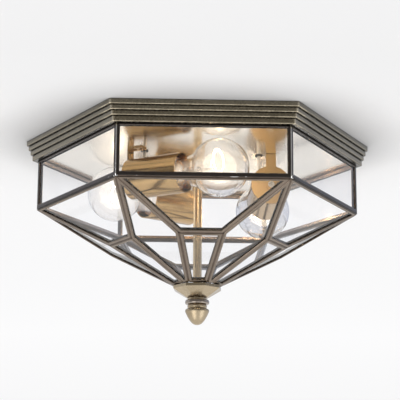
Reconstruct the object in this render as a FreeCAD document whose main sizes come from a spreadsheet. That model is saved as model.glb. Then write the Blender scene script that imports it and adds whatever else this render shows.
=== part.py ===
import FreeCAD, Part
import math
import os
import Sketcher

# Hexagonal brass and glass ceiling light with three lamps, in millimetres.
# The origin is the centre of the ceiling face, +Z is up, and a flat side of the
# hexagon looks along -Y. Every drop is a distance below the ceiling.

SIZES = {
    # pan against the ceiling, four stepped bands
    "pan_corner_radius": 185.0,
    "band_inset": 1.9,
    "first_band_height": 5.9,
    "band_height": 5.15,
    "band_groove_height": 0.9,
    "band_groove_depth": 0.9,
    "band_edge_radius": 1.0,
    "pan_edge_radius": 1.6,
    "pan_wall": 1.2,
    "pan_lip_gap": 0.6,
    # polished plate that closes the pan
    "plate_drop": 19.3,
    "plate_thickness": 1.0,
    "plate_edge_gap": 0.3,
    # strap that the ceiling screws hold
    "strap_end_margin": 9.0,
    "strap_width": 22.0,
    "strap_thickness": 2.5,
    "strap_joggle": 6.0,
    "strap_web_length": 48.0,
    "strap_leg_run": 6.0,
    "slot_spacing": 100.0,
    "slot_length": 22.0,
    "slot_width": 5.0,
    # central rod with its nuts, washers and cover tube
    "rod_radius": 3.0,
    "rod_top_drop": 0.8,
    "rod_chamfer": 0.5,
    "rod_hub_length": 33.7,
    "thread_gap": 0.05,
    "hole_gap": 0.3,
    "nut_flats": 10.0,
    "nut_height": 5.0,
    "thin_nut_height": 3.2,
    "washer_radius": 6.0,
    "washer_thickness": 1.0,
    "tube_radius": 4.7,
    "tube_wall": 1.4,
    # terminal block on the plate
    "block_length": 28.0,
    "block_width": 17.0,
    "block_height": 12.5,
    "block_offset": 27.0,
    "block_pitch": 9.0,
    "block_entry_radius": 2.0,
    "block_entry_depth": 4.0,
    "block_screw_radius": 1.7,
    "block_screw_depth": 5.0,
    "block_screw_inset": 4.5,
    "block_screw_sink": 1.2,
    "earth_inset": 4.5,
    "earth_radius": 2.0,
    "earth_head_radius": 3.6,
    "earth_head_height": 2.4,
    # lamp holders, one turn, offset, back distance, drop and tilt for each
    "lamp1_turn": -29.8,
    "lamp1_offset": 76.8,
    "lamp1_back": 38.3,
    "lamp1_drop": 52.6,
    "lamp1_tilt": -0.6,
    "lamp2_turn": 215.5,
    "lamp2_offset": 71.3,
    "lamp2_back": 45.0,
    "lamp2_drop": 49.2,
    "lamp2_tilt": 0.6,
    "lamp3_turn": 90.2,
    "lamp3_offset": 75.6,
    "lamp3_back": 38.1,
    "lamp3_drop": 53.2,
    "lamp3_tilt": 2.9,
    "strip_width": 10.7,
    "strip_thickness": 1.6,
    "strip_overhang": 6.5,
    "strip_foot": 15.0,
    "strip_bend_radius": 0.8,
    "sleeve_radius": 21.0,
    "sleeve_wall": 1.0,
    "sleeve_length": 62.0,
    "sleeve_back": 1.2,
    "sleeve_edge_radius": 0.7,
    "rivet_radius": 1.5,
    "rivet_head_radius": 2.6,
    "rivet_head_height": 1.1,
    "rivet_first": 4.8,
    "rivet_pitch": 6.4,
    "screw_radius": 2.0,
    "screw_head_radius": 3.4,
    "screw_length": 9.0,
    "socket_foot_radius": 10.0,
    "socket_foot_length": 12.8,
    "socket_radius": 17.0,
    "socket_length": 42.0,
    "socket_floor": 12.0,
    "socket_edge_radius": 1.5,
    "tongue_radius": 3.5,
    "tongue_height": 2.2,
    "tongue_gap": 0.2,
    # bulbs, seated at full depth
    "cap_radius": 13.2,
    "cap_length": 23.0,
    "cap_wall": 0.5,
    "cap_fit_gap": 0.1,
    "contact_radius": 4.5,
    "contact_height": 2.0,
    "contact_edge_radius": 0.8,
    "insulator_radius": 10.5,
    "insulator_height": 2.6,
    "bulb_radius": 30.0,
    "bulb_centre": 75.0,
    "bulb_neck_radius": 14.2,
    "bulb_neck_end": 33.6,
    "bulb_wall": 1.0,
    "press_gap": 0.2,
    "stem_radius": 4.0,
    "stem_edge_radius": 1.6,
    "stem_length": 24.0,
    "filament_reach": 20.0,
    "filament_half_span": 9.0,
    "filament_radius": 0.5,
    "support_radius": 0.35,
    "support_offset": 2.0,
    "support_end_gap": 1.05,
    # leads above the plate
    "lead_radius": 1.8,
    "lead_drop": 12.8,
    "lead_bend": 5.0,
    "lead_turn_bend": 9.0,
    "lead_forward": 9.0,
    "lead_side": 12.0,
    "lead_end_rise": 5.0,
    "grommet_wall": 1.1,
    "grommet_flange": 1.0,
    "grommet_flange_height": 1.0,
    "grommet_gap": 0.1,
    # glazed cage
    "cage_inset": 12.8,
    "cage_top_gap": 0.3,
    "ring_drop": 75.4,
    "bar_apothem": 94.0,
    "bar_half_length": 22.3,
    "bar_drop": 119.0,
    "hub_end_apothem": 23.0,
    "hub_end_half": 9.7,
    "came_width": 4.0,
    "came_depth": 4.4,
    "came_lip": 1.2,
    "came_slot": 1.0,
    "came_bevel": 0.6,
    "seam_half_gap": 0.5,
    "inner_half_gap": 0.1,
    "ring_rail": 5.4,
    "shoulder_rail": 3.6,
    "kite_end_rail": 5.5,
    "glass_thickness": 2.2,
    "glass_gap": 0.15,
    # hub and finial
    "seat_gap": 0.1,
    "hub_flats": 49.0,
    "hub_turn": -6.4,
    "hub_rim": 3.0,
    "hub_cone": 9.7,
    "neck_radius": 10.0,
    "neck_height": 1.6,
    "collar_radius": 12.75,
    "collar_height": 5.0,
    "collar_edge_radius": 1.9,
    "bead_radius": 10.4,
    "bead_height": 4.1,
    "bead_inset": 1.025,
    "bead_bend": 3.075,
    "acorn_radius": 12.75,
    "acorn_shoulder": 3.5,
    "acorn_length": 17.5,
    "acorn_tip_radius": 1.5,
    "acorn_tip_height": 1.4,
    "acorn_shoulder_bend": 3.6,
    "acorn_side_bend": 17.0,
    "bore_end_gap": 1.0,
}

SIDES = 6
BAND_COUNT = 4
HUB_SIDES = 8
LAMP_COUNT = 3
POLE_COUNT = 3
TOLERANCE = 1e-4

# Sizes that follow from the ones above, as expressions
PAN_HEIGHT = f"(Sizes.first_band_height + {BAND_COUNT - 1} * Sizes.band_height)"
CAGE_CORNER = "(Sizes.pan_corner_radius - Sizes.cage_inset)"
CAGE_APOTHEM = f"({CAGE_CORNER} * cos(30))"
CAGE_TOP = "(Sizes.plate_drop + Sizes.cage_top_gap)"
PLATE_TOP = "(Sizes.plate_drop - Sizes.plate_thickness)"
STRAP_HALF = "(0.5 * (Sizes.slot_spacing + Sizes.slot_length) + Sizes.strap_end_margin)"
EARTH_PLACE = f"({STRAP_HALF} - Sizes.earth_inset)"
WEB_TOP = "Sizes.strap_joggle"
WEB_BOTTOM = "(Sizes.strap_joggle + Sizes.strap_thickness)"
LOWER_NUT_DROP = "(Sizes.plate_drop + Sizes.washer_thickness)"
TUBE_TOP = f"({LOWER_NUT_DROP} + Sizes.thin_nut_height)"
ROD_HOLE = "(Sizes.rod_radius + Sizes.hole_gap)"
THREAD_HOLE = "(Sizes.rod_radius + Sizes.thread_gap)"

BAR_END_RADIUS = "(Sizes.bar_apothem * cos(30) + 0.5 * Sizes.bar_half_length)"
BAR_END_SIDE = "(0.5 * Sizes.bar_apothem - Sizes.bar_half_length * cos(30))"
HUB_END_RADIUS = "(Sizes.hub_end_apothem * cos(30) + 0.5 * Sizes.hub_end_half)"
HUB_END_SIDE = "(0.5 * Sizes.hub_end_apothem - Sizes.hub_end_half * cos(30))"
SHOULDER_RISE = "(Sizes.bar_drop - Sizes.ring_drop)"
SHOULDER_RUN = f"({CAGE_APOTHEM} - Sizes.bar_apothem)"
KITE_RUN = f"({CAGE_CORNER} - {BAR_END_RADIUS})"
KITE_SLOPE = f"({SHOULDER_RISE} / {KITE_RUN})"
HUB_END_DROP = f"(Sizes.ring_drop + ({CAGE_CORNER} - {HUB_END_RADIUS}) * {KITE_SLOPE})"
THROAT_RISE = f"({HUB_END_DROP} - Sizes.bar_drop)"
THROAT_RUN = "(Sizes.bar_apothem - Sizes.hub_end_apothem)"
SIDE_LENGTH = f"(Sizes.ring_drop - {CAGE_TOP})"
SHOULDER_LENGTH = f"sqrt({SHOULDER_RISE}^2 + {SHOULDER_RUN}^2)"
THROAT_LENGTH = f"sqrt({THROAT_RISE}^2 + {THROAT_RUN}^2)"
KITE_STRETCH = f"sqrt(1 + {KITE_SLOPE}^2)"
KITE_BAR = f"({KITE_RUN} * {KITE_STRETCH})"
KITE_LENGTH = f"(({CAGE_CORNER} - {HUB_END_RADIUS}) * {KITE_STRETCH})"

HUB_TOP = f"({HUB_END_DROP} + Sizes.seat_gap)"
CONE_TOP = f"({HUB_TOP} + Sizes.hub_rim)"
NECK_TOP = f"({CONE_TOP} + Sizes.hub_cone)"
COLLAR_TOP = f"({NECK_TOP} + Sizes.neck_height)"
BEAD_TOP = f"({COLLAR_TOP} + Sizes.collar_height)"
ACORN_TOP = f"({BEAD_TOP} + Sizes.bead_height)"
ROD_END = f"({HUB_TOP} + Sizes.rod_hub_length)"

# Places along a lamp's axis, from the back of its sleeve
SOCKET_START = "(Sizes.sleeve_back + Sizes.socket_foot_length)"
SOCKET_FLOOR = f"({SOCKET_START} + Sizes.socket_floor)"
CONTACT_START = f"({SOCKET_FLOOR} + Sizes.tongue_height + Sizes.tongue_gap)"
CONTACT_END = f"({CONTACT_START} + Sizes.contact_height)"
CAP_START = f"({CONTACT_END} + Sizes.insulator_height)"
CAP_END = f"({CAP_START} + Sizes.cap_length)"
BULB_CENTRE = f"({CONTACT_START} + Sizes.bulb_centre)"
NECK_END = f"({CONTACT_START} + Sizes.bulb_neck_end)"

doc = FreeCAD.newDocument("ceiling_light")
sheet = doc.addObject("Spreadsheet::Sheet", "Sizes")
for row, (alias, number) in enumerate(SIZES.items(), start=1):
    sheet.set(f"A{row}", alias.replace("_", " "))
    sheet.set(f"B{row}", str(number))
    sheet.setAlias(f"B{row}", alias)
doc.recompute()


def value(expression):
    """Return an expression of the sheet's sizes as a number."""
    result = sheet.evalExpression(expression)
    return float(getattr(result, "Value", result))


def minus(expression):
    return f"-({expression})"


def new_body(name):
    body = doc.addObject("PartDesign::Body", name)
    body.Label = name
    return body


def group(name, pieces):
    """Join alike pieces, each its own solid, under one name."""
    compound = doc.addObject("Part::Compound", name)
    compound.Label = name
    compound.Links = pieces
    return compound


def new_sketch(body, plane_role, offset=None):
    """Attach a sketch to an origin plane, moved along the plane's normal by an expression."""
    sketch = body.newObject("Sketcher::SketchObject", body.Name + "_sketch")
    plane = [item for item in body.Origin.OriginFeatures if item.Role == plane_role][0]
    sketch.AttachmentSupport = [(plane, "")]
    sketch.MapMode = "FlatFace"
    if offset:
        sketch.setExpression("AttachmentOffset.Base.z", offset)
    return sketch


def bind(sketch, constraint, name, expression):
    constraint.Name = name
    sketch.addConstraint(constraint)
    sketch.setExpression(f"Constraints.{name}", expression)


def arc_through(start, end, radius, side):
    """Return the short arc of a radius from start to end, its centre on the left for side 1."""
    chord = end - start
    middle = (start + end) * 0.5
    left = FreeCAD.Vector(-chord.y, chord.x, 0).normalize() * side
    half = chord.Length * 0.5
    height = math.sqrt(max(radius * radius - half * half, 0))
    top = middle + left * (height - radius)
    return Part.Arc(start, top, end)


def outline(sketch, points, bends=None):
    """Draw a closed outline through points given as pairs of expressions.

    bends maps the index of a point to the radius and side of the arc that leaves it,
    and for a half circle to its centre's place along X as well.
    """
    bends = bends or {}
    places = [FreeCAD.Vector(value(x), value(y), 0) for x, y in points]
    first = sketch.GeometryCount
    starts = []
    ends = []
    for index, start in enumerate(places):
        end = places[(index + 1) % len(places)]
        if index in bends:
            radius, side = bends[index][:2]
            number = sketch.addGeometry(arc_through(start, end, value(radius), side))
            flipped = sketch.getPoint(number, 1).distanceToPoint(start) > start.distanceToPoint(end) * 0.5
            starts.append(2 if flipped else 1)
            ends.append(1 if flipped else 2)
        else:
            sketch.addGeometry(Part.LineSegment(start, end))
            starts.append(1)
            ends.append(2)
    count = len(places)
    for index in range(count):
        after = (index + 1) % count
        joint = Sketcher.Constraint("Coincident", first + index, ends[index], first + after, starts[after])
        sketch.addConstraint(joint)
    for index, (x, y) in enumerate(points):
        place = places[index]
        edge = first + index
        across = Sketcher.Constraint("DistanceX", -1, 1, edge, starts[index], place.x)
        along = Sketcher.Constraint("DistanceY", -1, 1, edge, starts[index], place.y)
        bind(sketch, across, f"across{edge}", x)
        bind(sketch, along, f"along{edge}", y)
    for index, (radius, side, *centre) in bends.items():
        edge = first + index
        if centre:
            across = Sketcher.Constraint("DistanceX", -1, 1, edge, 3, value(centre[0]))
            bind(sketch, across, f"bend{edge}", centre[0])
        else:
            bind(sketch, Sketcher.Constraint("Radius", edge, value(radius)), f"bend{edge}", radius)


def circle(sketch, radius, x="0", y="0"):
    """Draw a circle of a radius about a point, all given as expressions."""
    centre = FreeCAD.Vector(value(x), value(y), 0)
    edge = sketch.addGeometry(Part.Circle(centre, FreeCAD.Vector(0, 0, 1), value(radius)))
    bind(sketch, Sketcher.Constraint("Radius", edge, value(radius)), f"radius{edge}", radius)
    if x == "0" and y == "0":
        sketch.addConstraint(Sketcher.Constraint("Coincident", edge, 3, -1, 1))
        return
    bind(sketch, Sketcher.Constraint("DistanceX", -1, 1, edge, 3, centre.x), f"across{edge}", x)
    bind(sketch, Sketcher.Constraint("DistanceY", -1, 1, edge, 3, centre.y), f"along{edge}", y)


def regular_points(sides, apothem, turn="0", start="0"):
    """Return the corners of a regular polygon, given its apothem, as expressions."""
    step = 360 / sides
    corner = f"({apothem}) / cos({step} / 2)"
    angles = [f"({start} + {turn} + {index * step})" for index in range(sides)]
    return [(f"{corner} * cos{angle}", f"{corner} * sin{angle}") for angle in angles]


def box_points(left, right, bottom, top):
    return [(left, bottom), (right, bottom), (right, top), (left, top)]


def add_feature(body, kind, sketch):
    feature = body.newObject("PartDesign::" + kind, body.Name + "_" + kind.lower())
    feature.Profile = sketch
    sketch.Visibility = False
    return feature


def pad(body, sketch, length, reverse=False, both=False):
    feature = add_feature(body, "Pad", sketch)
    feature.setExpression("Length", length)
    feature.Reversed = reverse
    if both:
        feature.SideType = "Symmetric"
    return feature


def pocket(body, sketch, length, reverse=False, both=False):
    """Cut a sketch into a body and stop if nothing was cut."""
    doc.recompute()
    before = body.Shape.Volume
    feature = add_feature(body, "Pocket", sketch)
    feature.setExpression("Length", length)
    feature.Reversed = reverse
    if both:
        feature.SideType = "Symmetric"
    doc.recompute()
    if not body.Shape.Volume < before:
        raise RuntimeError(body.Label + ": a pocket cuts nothing")
    return feature


def revolve(body, sketch, axis):
    """Turn a sketch once round its own H_Axis or V_Axis."""
    feature = add_feature(body, "Revolution", sketch)
    feature.ReferenceAxis = (sketch, [axis])
    feature.Angle = 360
    return feature


def loft(body, sections):
    feature = add_feature(body, "AdditiveLoft", sections[0])
    feature.Sections = sections[1:]
    feature.Ruled = True
    return feature


def edges_where(shape, test):
    """Name the edges of a shape whose two ends, and middle, all pass a test."""
    names = []
    for number, edge in enumerate(shape.Edges, start=1):
        middle = edge.valueAt((edge.FirstParameter + edge.LastParameter) * 0.5)
        ends = [vertex.Point for vertex in edge.Vertexes]
        if all(test(point) for point in ends + [middle]):
            names.append(f"Edge{number}")
    return names


def soften(body, kind, size, test):
    """Fillet or chamfer the edges that pass a test."""
    doc.recompute()
    tip = body.Tip
    names = edges_where(tip.Shape, test)
    if not names:
        raise RuntimeError(body.Label + ": no edge to soften")
    feature = body.newObject("PartDesign::" + kind, body.Name + "_" + kind.lower())
    feature.Base = (tip, names)
    feature.setExpression("Radius" if kind == "Fillet" else "Size", size)
    doc.recompute()
    return feature


def near(number, expression):
    return abs(number - value(expression)) < TOLERANCE


def band_apothem(index):
    """Apothem of a band of the pan, counted from the ceiling."""
    return f"(Sizes.pan_corner_radius * cos(30) - {index} * Sizes.band_inset)"


def band_drop(index):
    """Drop of a band's upper edge."""
    if index == 0:
        return "0"
    return f"(Sizes.first_band_height + {index - 1} * Sizes.band_height)"


def groove_apothem(index):
    """Apothem of the groove under a band."""
    return f"({band_apothem(index + 1)} - Sizes.band_groove_depth)"


def hexagon(body, apothem, drop):
    sketch = new_sketch(body, "XY_Plane", minus(drop))
    outline(sketch, regular_points(SIDES, apothem))
    return sketch


def ceiling_pan():
    """Stepped hexagonal ring: four bands with a groove under each, and a lip for the plate."""
    body = new_body("ceiling_pan")
    for index in range(BAND_COUNT):
        last = index == BAND_COUNT - 1
        top = band_drop(index)
        height = "Sizes.first_band_height" if index == 0 else "Sizes.band_height"
        if last:
            pad(body, hexagon(body, band_apothem(index), top), height, reverse=True)
            continue
        face = f"{height} - Sizes.band_groove_height"
        pad(body, hexagon(body, band_apothem(index), top), face, reverse=True)
        groove_top = f"{top} + {face}"
        pad(body, hexagon(body, groove_apothem(index), groove_top), "Sizes.band_groove_height", reverse=True)
    doc.recompute()
    round_pan_corners(body)
    round_band_edges(body)
    for index in range(BAND_COUNT - 1):
        depth = "Sizes.plate_drop" if index == BAND_COUNT - 2 else band_drop(index + 1)
        inner = hexagon(body, f"{groove_apothem(index)} - Sizes.pan_wall", "0")
        pocket(body, inner, depth)
    lip = hexagon(body, f"{CAGE_APOTHEM} + Sizes.pan_lip_gap", "0")
    pocket(body, lip, f"{PAN_HEIGHT} + Sizes.pan_wall")
    return body


def round_pan_corners(body):
    """Round the upright corner edges of each band."""
    faces = [value(band_apothem(index)) / math.cos(math.radians(30)) for index in range(BAND_COUNT)]

    def on_corner(point):
        return any(abs(math.hypot(point.x, point.y) - radius) < TOLERANCE for radius in faces)

    soften(body, "Fillet", "Sizes.pan_edge_radius", on_corner)


def round_band_edges(body):
    """Round the lower outer edge of each band, where the light catches it."""
    drops = [value(band_drop(index)) - value("Sizes.band_groove_height") for index in range(1, BAND_COUNT)]
    drops.append(value(PAN_HEIGHT))
    apothems = [value(band_apothem(index)) for index in range(BAND_COUNT)]

    def on_lower_edge(point):
        radius = math.hypot(point.x, point.y)
        return any(
            abs(point.z + drop) < TOLERANCE and radius > apothem - TOLERANCE
            for drop, apothem in zip(drops, apothems)
        )

    soften(body, "Fillet", "Sizes.band_edge_radius", on_lower_edge)


def lamp_frame(number):
    """Placement of a lamp: its axis is the local X axis, starting at the sleeve's back."""
    return lamp_placement(number, "0", "0", "0", f"* rotation(vector(0; 1; 0); Sizes.lamp{number}_tilt)")


def lamp_placement(number, forward, side, rise, tilt=""):
    """Placement from a lamp's back, moved along and beside its level direction."""
    x, y = lamp_point(number, forward, side)
    z = f"{rise} - Sizes.lamp{number}_drop"
    turn = f"rotation(vector(0; 0; 1); Sizes.lamp{number}_turn)"
    return f"placement(vector({x}; {y}; {z}); {turn} {tilt})"


def lamp_point(number, forward, side):
    """Plan position of a point given along and beside a lamp's level direction."""
    turn = f"Sizes.lamp{number}_turn"
    along = f"({forward} - Sizes.lamp{number}_back)"
    beside = f"({side} - Sizes.lamp{number}_offset)"
    x = f"{along} * cos({turn}) - {beside} * sin({turn})"
    y = f"{along} * sin({turn}) + {beside} * cos({turn})"
    return x, y


def place(thing, placement):
    thing.setExpression("Placement", placement)
    return thing


def reflector_plate():
    """Flat plate on the pan's lip, with holes for the rod, the lamp leads and the rivets."""
    body = new_body("reflector_plate")
    edge = f"{groove_apothem(BAND_COUNT - 2)} - Sizes.pan_wall - Sizes.plate_edge_gap"
    pad(body, hexagon(body, edge, "Sizes.plate_drop"), "Sizes.plate_thickness")
    holes = new_sketch(body, "XY_Plane", minus(PLATE_TOP))
    circle(holes, ROD_HOLE)
    for number in range(1, LAMP_COUNT + 1):
        x, y = lamp_point(number, "Sizes.lead_forward", "Sizes.lead_side")
        circle(holes, "Sizes.lead_radius + Sizes.grommet_gap + Sizes.grommet_wall", x, y)
        for step in range(2):
            x, y = lamp_point(number, rivet_forward(step), "0")
            circle(holes, "Sizes.rivet_radius", x, y)
    pocket(body, holes, "Sizes.plate_thickness")
    return body


def rivet_forward(step):
    return f"(Sizes.rivet_first + {step} * Sizes.rivet_pitch)"


def ceiling_strap():
    """Flat bar with a lowered web, two slots for the ceiling screws and a hole for the rod."""
    body = new_body("ceiling_strap")
    end = STRAP_HALF
    web = "0.5 * Sizes.strap_web_length"
    shoulder = f"{web} + Sizes.strap_leg_run"
    steel = "Sizes.strap_thickness"
    profile = new_sketch(body, "XZ_Plane")
    points = [
        (end, "0"), (shoulder, "0"), (web, minus(WEB_TOP)), (minus(web), minus(WEB_TOP)),
        (minus(shoulder), "0"), (minus(end), "0"), (minus(end), minus(steel)),
        (minus(f"{shoulder} + 0.5 * {steel}"), minus(steel)),
        (minus(f"{web} + 0.5 * {steel}"), minus(WEB_BOTTOM)),
        (f"{web} + 0.5 * {steel}", minus(WEB_BOTTOM)),
        (f"{shoulder} + 0.5 * {steel}", minus(steel)), (end, minus(steel)),
    ]
    outline(profile, points)
    pad(body, profile, "Sizes.strap_width", both=True)
    holes = new_sketch(body, "XY_Plane")
    circle(holes, ROD_HOLE)
    circle(holes, "Sizes.earth_radius + Sizes.thread_gap", EARTH_PLACE)
    for side in (-1, 1):
        slot_outline(holes, f"{side} * 0.5 * Sizes.slot_spacing")
    pocket(body, holes, f"{WEB_BOTTOM} + Sizes.strap_thickness")
    return body


def slot_outline(sketch, centre):
    """Round-ended slot along X about a centre."""
    reach = "0.5 * (Sizes.slot_length - Sizes.slot_width)"
    half = "0.5 * Sizes.slot_width"
    left = f"{centre} - {reach}"
    right = f"{centre} + {reach}"
    points = [(left, minus(half)), (right, minus(half)), (right, half), (left, half)]
    outline(sketch, points, {1: (half, 1, right), 3: (half, 1, left)})


def ring_body(name, outer, inner, top, height):
    """Plain ring or tube about Z, hanging down from a drop."""
    body = new_body(name)
    sketch = new_sketch(body, "XY_Plane", minus(top))
    circle(sketch, outer)
    if inner:
        circle(sketch, inner)
    pad(body, sketch, height, reverse=True)
    return body


def threaded_rod():
    """Threaded rod from the strap down into the finial."""
    body = ring_body("threaded_rod", "Sizes.rod_radius", None, "Sizes.rod_top_drop",
                     f"{ROD_END} - Sizes.rod_top_drop")
    ends = (minus("Sizes.rod_top_drop"), minus(ROD_END))
    soften(body, "Chamfer", "Sizes.rod_chamfer", lambda point: any(near(point.z, end) for end in ends))
    return body


def hex_nut(name, top, height):
    body = new_body(name)
    sketch = new_sketch(body, "XY_Plane", minus(top))
    outline(sketch, regular_points(SIDES, "0.5 * Sizes.nut_flats"))
    circle(sketch, THREAD_HOLE)
    pad(body, sketch, height, reverse=True)
    return body


def rod_hardware():
    """Nuts that clamp the strap and the plate on the rod, with the plate's washers."""
    upper_washer = f"{PLATE_TOP} - Sizes.washer_thickness"
    nuts = [
        hex_nut("nut_above_strap", f"{WEB_TOP} - Sizes.nut_height", "Sizes.nut_height"),
        hex_nut("nut_below_strap", WEB_BOTTOM, "Sizes.thin_nut_height"),
        hex_nut("nut_above_plate", f"{upper_washer} - Sizes.thin_nut_height", "Sizes.thin_nut_height"),
        hex_nut("nut_below_plate", LOWER_NUT_DROP, "Sizes.thin_nut_height"),
    ]
    washers = [
        ring_body(name, "Sizes.washer_radius", ROD_HOLE, top, "Sizes.washer_thickness")
        for name, top in (("washer_above_plate", upper_washer), ("washer_below_plate", "Sizes.plate_drop"))
    ]
    return [group("rod_nuts", nuts), group("rod_washers", washers)]


def centre_tube():
    """Cover tube over the rod, from the plate's nut to the hub."""
    length = f"{HUB_TOP} - Sizes.thread_gap - {TUBE_TOP}"
    inside = "Sizes.tube_radius - Sizes.tube_wall"
    return ring_body("centre_tube", "Sizes.tube_radius", inside, TUBE_TOP, length)


def pole_places():
    """Plan positions of the terminal block's poles across its length."""
    middle = (POLE_COUNT - 1) / 2
    return [f"{index - middle} * Sizes.block_pitch" for index in range(POLE_COUNT)]


def terminal_block():
    """Three-pole block on the plate, with wire entries on both long sides and screws on top."""
    body = new_body("terminal_block")
    half_length = "0.5 * Sizes.block_length"
    front = "Sizes.block_offset - 0.5 * Sizes.block_width"
    rear = "Sizes.block_offset + 0.5 * Sizes.block_width"
    base = new_sketch(body, "XY_Plane", minus(PLATE_TOP))
    outline(base, box_points(minus(half_length), half_length, front, rear))
    pad(body, base, "Sizes.block_height")
    top = f"{PLATE_TOP} - Sizes.block_height"
    screws = new_sketch(body, "XY_Plane", minus(top))
    for x in pole_places():
        for y in screw_rows():
            circle(screws, "Sizes.block_screw_radius", x, y)
    pocket(body, screws, "Sizes.block_screw_depth")
    for plane_offset, reverse in ((minus(front), False), (minus(rear), True)):
        entries = new_sketch(body, "XZ_Plane", plane_offset)
        for x in pole_places():
            circle(entries, "Sizes.block_entry_radius", x, minus("Sizes.lead_drop"))
        pocket(body, entries, "Sizes.block_entry_depth", reverse=reverse)
    return body


def screw_rows():
    reach = "(0.5 * Sizes.block_width - Sizes.block_screw_inset)"
    return [f"Sizes.block_offset - {reach}", f"Sizes.block_offset + {reach}"]


def terminal_screws():
    """Clamp screws sunk in the top of the terminal block."""
    top = f"{PLATE_TOP} - Sizes.block_height"
    length = "Sizes.block_screw_depth - Sizes.block_screw_sink"
    pieces = []
    for column, x in enumerate(pole_places()):
        for line, y in enumerate(screw_rows()):
            body = new_body(f"terminal_screw_{column}_{line}")
            sketch = new_sketch(body, "XY_Plane", minus(f"{top} + Sizes.block_screw_sink"))
            circle(sketch, "Sizes.block_screw_radius - Sizes.thread_gap", x, y)
            pad(body, sketch, length, reverse=True)
            pieces.append(body)
    return group("terminal_screws", pieces)


def earth_post():
    """Earth screw in one end of the strap, its head below."""
    body = new_body("earth_post")
    shank = new_sketch(body, "XY_Plane")
    circle(shank, "Sizes.earth_radius", EARTH_PLACE)
    pad(body, shank, "Sizes.strap_thickness", reverse=True)
    head = new_sketch(body, "XY_Plane", minus("Sizes.strap_thickness"))
    circle(head, "Sizes.earth_head_radius", EARTH_PLACE)
    pad(body, head, "Sizes.earth_head_height", reverse=True)
    return body


def holder_bracket(number):
    """Bent strip: a level foot under the plate and a leg down the back of the sleeve."""
    body = new_body(f"holder_bracket_{number}")
    tilt = f"Sizes.lamp{number}_tilt"
    rise = f"(Sizes.lamp{number}_drop - Sizes.plate_drop)"
    steel = "Sizes.strip_thickness"
    low = "Sizes.strip_overhang"
    inner_top = f"({rise} - {steel})"
    outer_reach = f"(({rise} - {steel} * sin({tilt})) / cos({tilt}))"
    points = [
        (f"-{low} * sin({tilt})", f"-{low} * cos({tilt})"),
        (f"-{low} * sin({tilt}) - {steel} * cos({tilt})", f"-{low} * cos({tilt}) + {steel} * sin({tilt})"),
        (f"{outer_reach} * sin({tilt}) - {steel} * cos({tilt})", rise),
        ("Sizes.strip_foot", rise),
        ("Sizes.strip_foot", inner_top),
        (f"{inner_top} * tan({tilt})", inner_top),
    ]
    profile = new_sketch(body, "XZ_Plane")
    outline(profile, points)
    pad(body, profile, "Sizes.strip_width", both=True)
    half = value("Sizes.strip_width") * 0.5
    bottom = -value(low) * math.cos(math.radians(value(tilt))) + value(steel)

    def on_tip(point):
        return abs(abs(point.y) - half) < TOLERANCE and point.z < bottom

    def on_bend(point):
        return point.x < value(steel) and near(point.z, rise)

    soften(body, "Fillet", "Sizes.strip_bend_radius", on_bend)
    round_strip_tip(body, tip_test=on_tip)
    holes = new_sketch(body, "XY_Plane", rise)
    for step in range(2):
        circle(holes, "Sizes.rivet_radius", rivet_forward(step))
    pocket(body, holes, f"2 * {steel}")
    place(body, lamp_placement(number, "0", "0", "0"))
    return body


def round_strip_tip(body, tip_test):
    """Round the free end of a strip almost to a half circle."""
    doc.recompute()
    tip = body.Tip
    names = []
    for index, edge in enumerate(tip.Shape.Edges, start=1):
        short = edge.Length < value("Sizes.strip_thickness") + TOLERANCE
        if short and all(tip_test(vertex.Point) for vertex in edge.Vertexes):
            names.append(f"Edge{index}")
    feature = body.newObject("PartDesign::Fillet", body.Name + "_tip")
    feature.Base = (tip, names)
    feature.setExpression("Radius", "0.5 * Sizes.strip_width - Sizes.thread_gap")
    doc.recompute()


def lamp_sleeve(number):
    """Closed-back sleeve round a socket, with a hole for the lead and one for the screw."""
    body = new_body(f"lamp_sleeve_{number}")
    shell = new_sketch(body, "YZ_Plane")
    circle(shell, "Sizes.sleeve_radius")
    pad(body, shell, "Sizes.sleeve_length")
    soften(body, "Fillet", "Sizes.sleeve_edge_radius", lambda point: abs(point.x) < TOLERANCE)
    hollow = new_sketch(body, "YZ_Plane", "Sizes.sleeve_length")
    circle(hollow, "Sizes.sleeve_radius - Sizes.sleeve_wall")
    pocket(body, hollow, "Sizes.sleeve_length - Sizes.sleeve_back")
    screw = new_sketch(body, "YZ_Plane", "Sizes.sleeve_back")
    circle(screw, "Sizes.screw_radius + Sizes.thread_gap")
    pocket(body, screw, "Sizes.sleeve_back")
    entry = new_sketch(body, "XY_Plane", "Sizes.sleeve_radius")
    circle(entry, "Sizes.lead_radius + Sizes.grommet_wall", "Sizes.lead_forward", "Sizes.lead_side")
    pocket(body, entry, "Sizes.sleeve_radius")
    place(body, lamp_frame(number))
    return body


def lamp_socket(number):
    """Screw socket: a foot on the sleeve's back and a barrel open to the bulb."""
    body = new_body(f"lamp_socket_{number}")
    foot = new_sketch(body, "YZ_Plane", "Sizes.sleeve_back")
    circle(foot, "Sizes.socket_foot_radius")
    pad(body, foot, "Sizes.socket_foot_length")
    barrel = new_sketch(body, "YZ_Plane", SOCKET_START)
    circle(barrel, "Sizes.socket_radius")
    pad(body, barrel, "Sizes.socket_length")
    mouth = f"{SOCKET_START} + Sizes.socket_length"
    soften(body, "Fillet", "Sizes.socket_edge_radius", lambda point: near(point.x, mouth))
    bore = new_sketch(body, "YZ_Plane", mouth)
    circle(bore, "Sizes.cap_radius + Sizes.cap_fit_gap")
    pocket(body, bore, "Sizes.socket_length - Sizes.socket_floor")
    screw = new_sketch(body, "YZ_Plane", "Sizes.screw_length")
    circle(screw, "Sizes.screw_radius + Sizes.thread_gap")
    pocket(body, screw, "Sizes.screw_length - Sizes.sleeve_back")
    place(body, lamp_frame(number))
    return body


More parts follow.
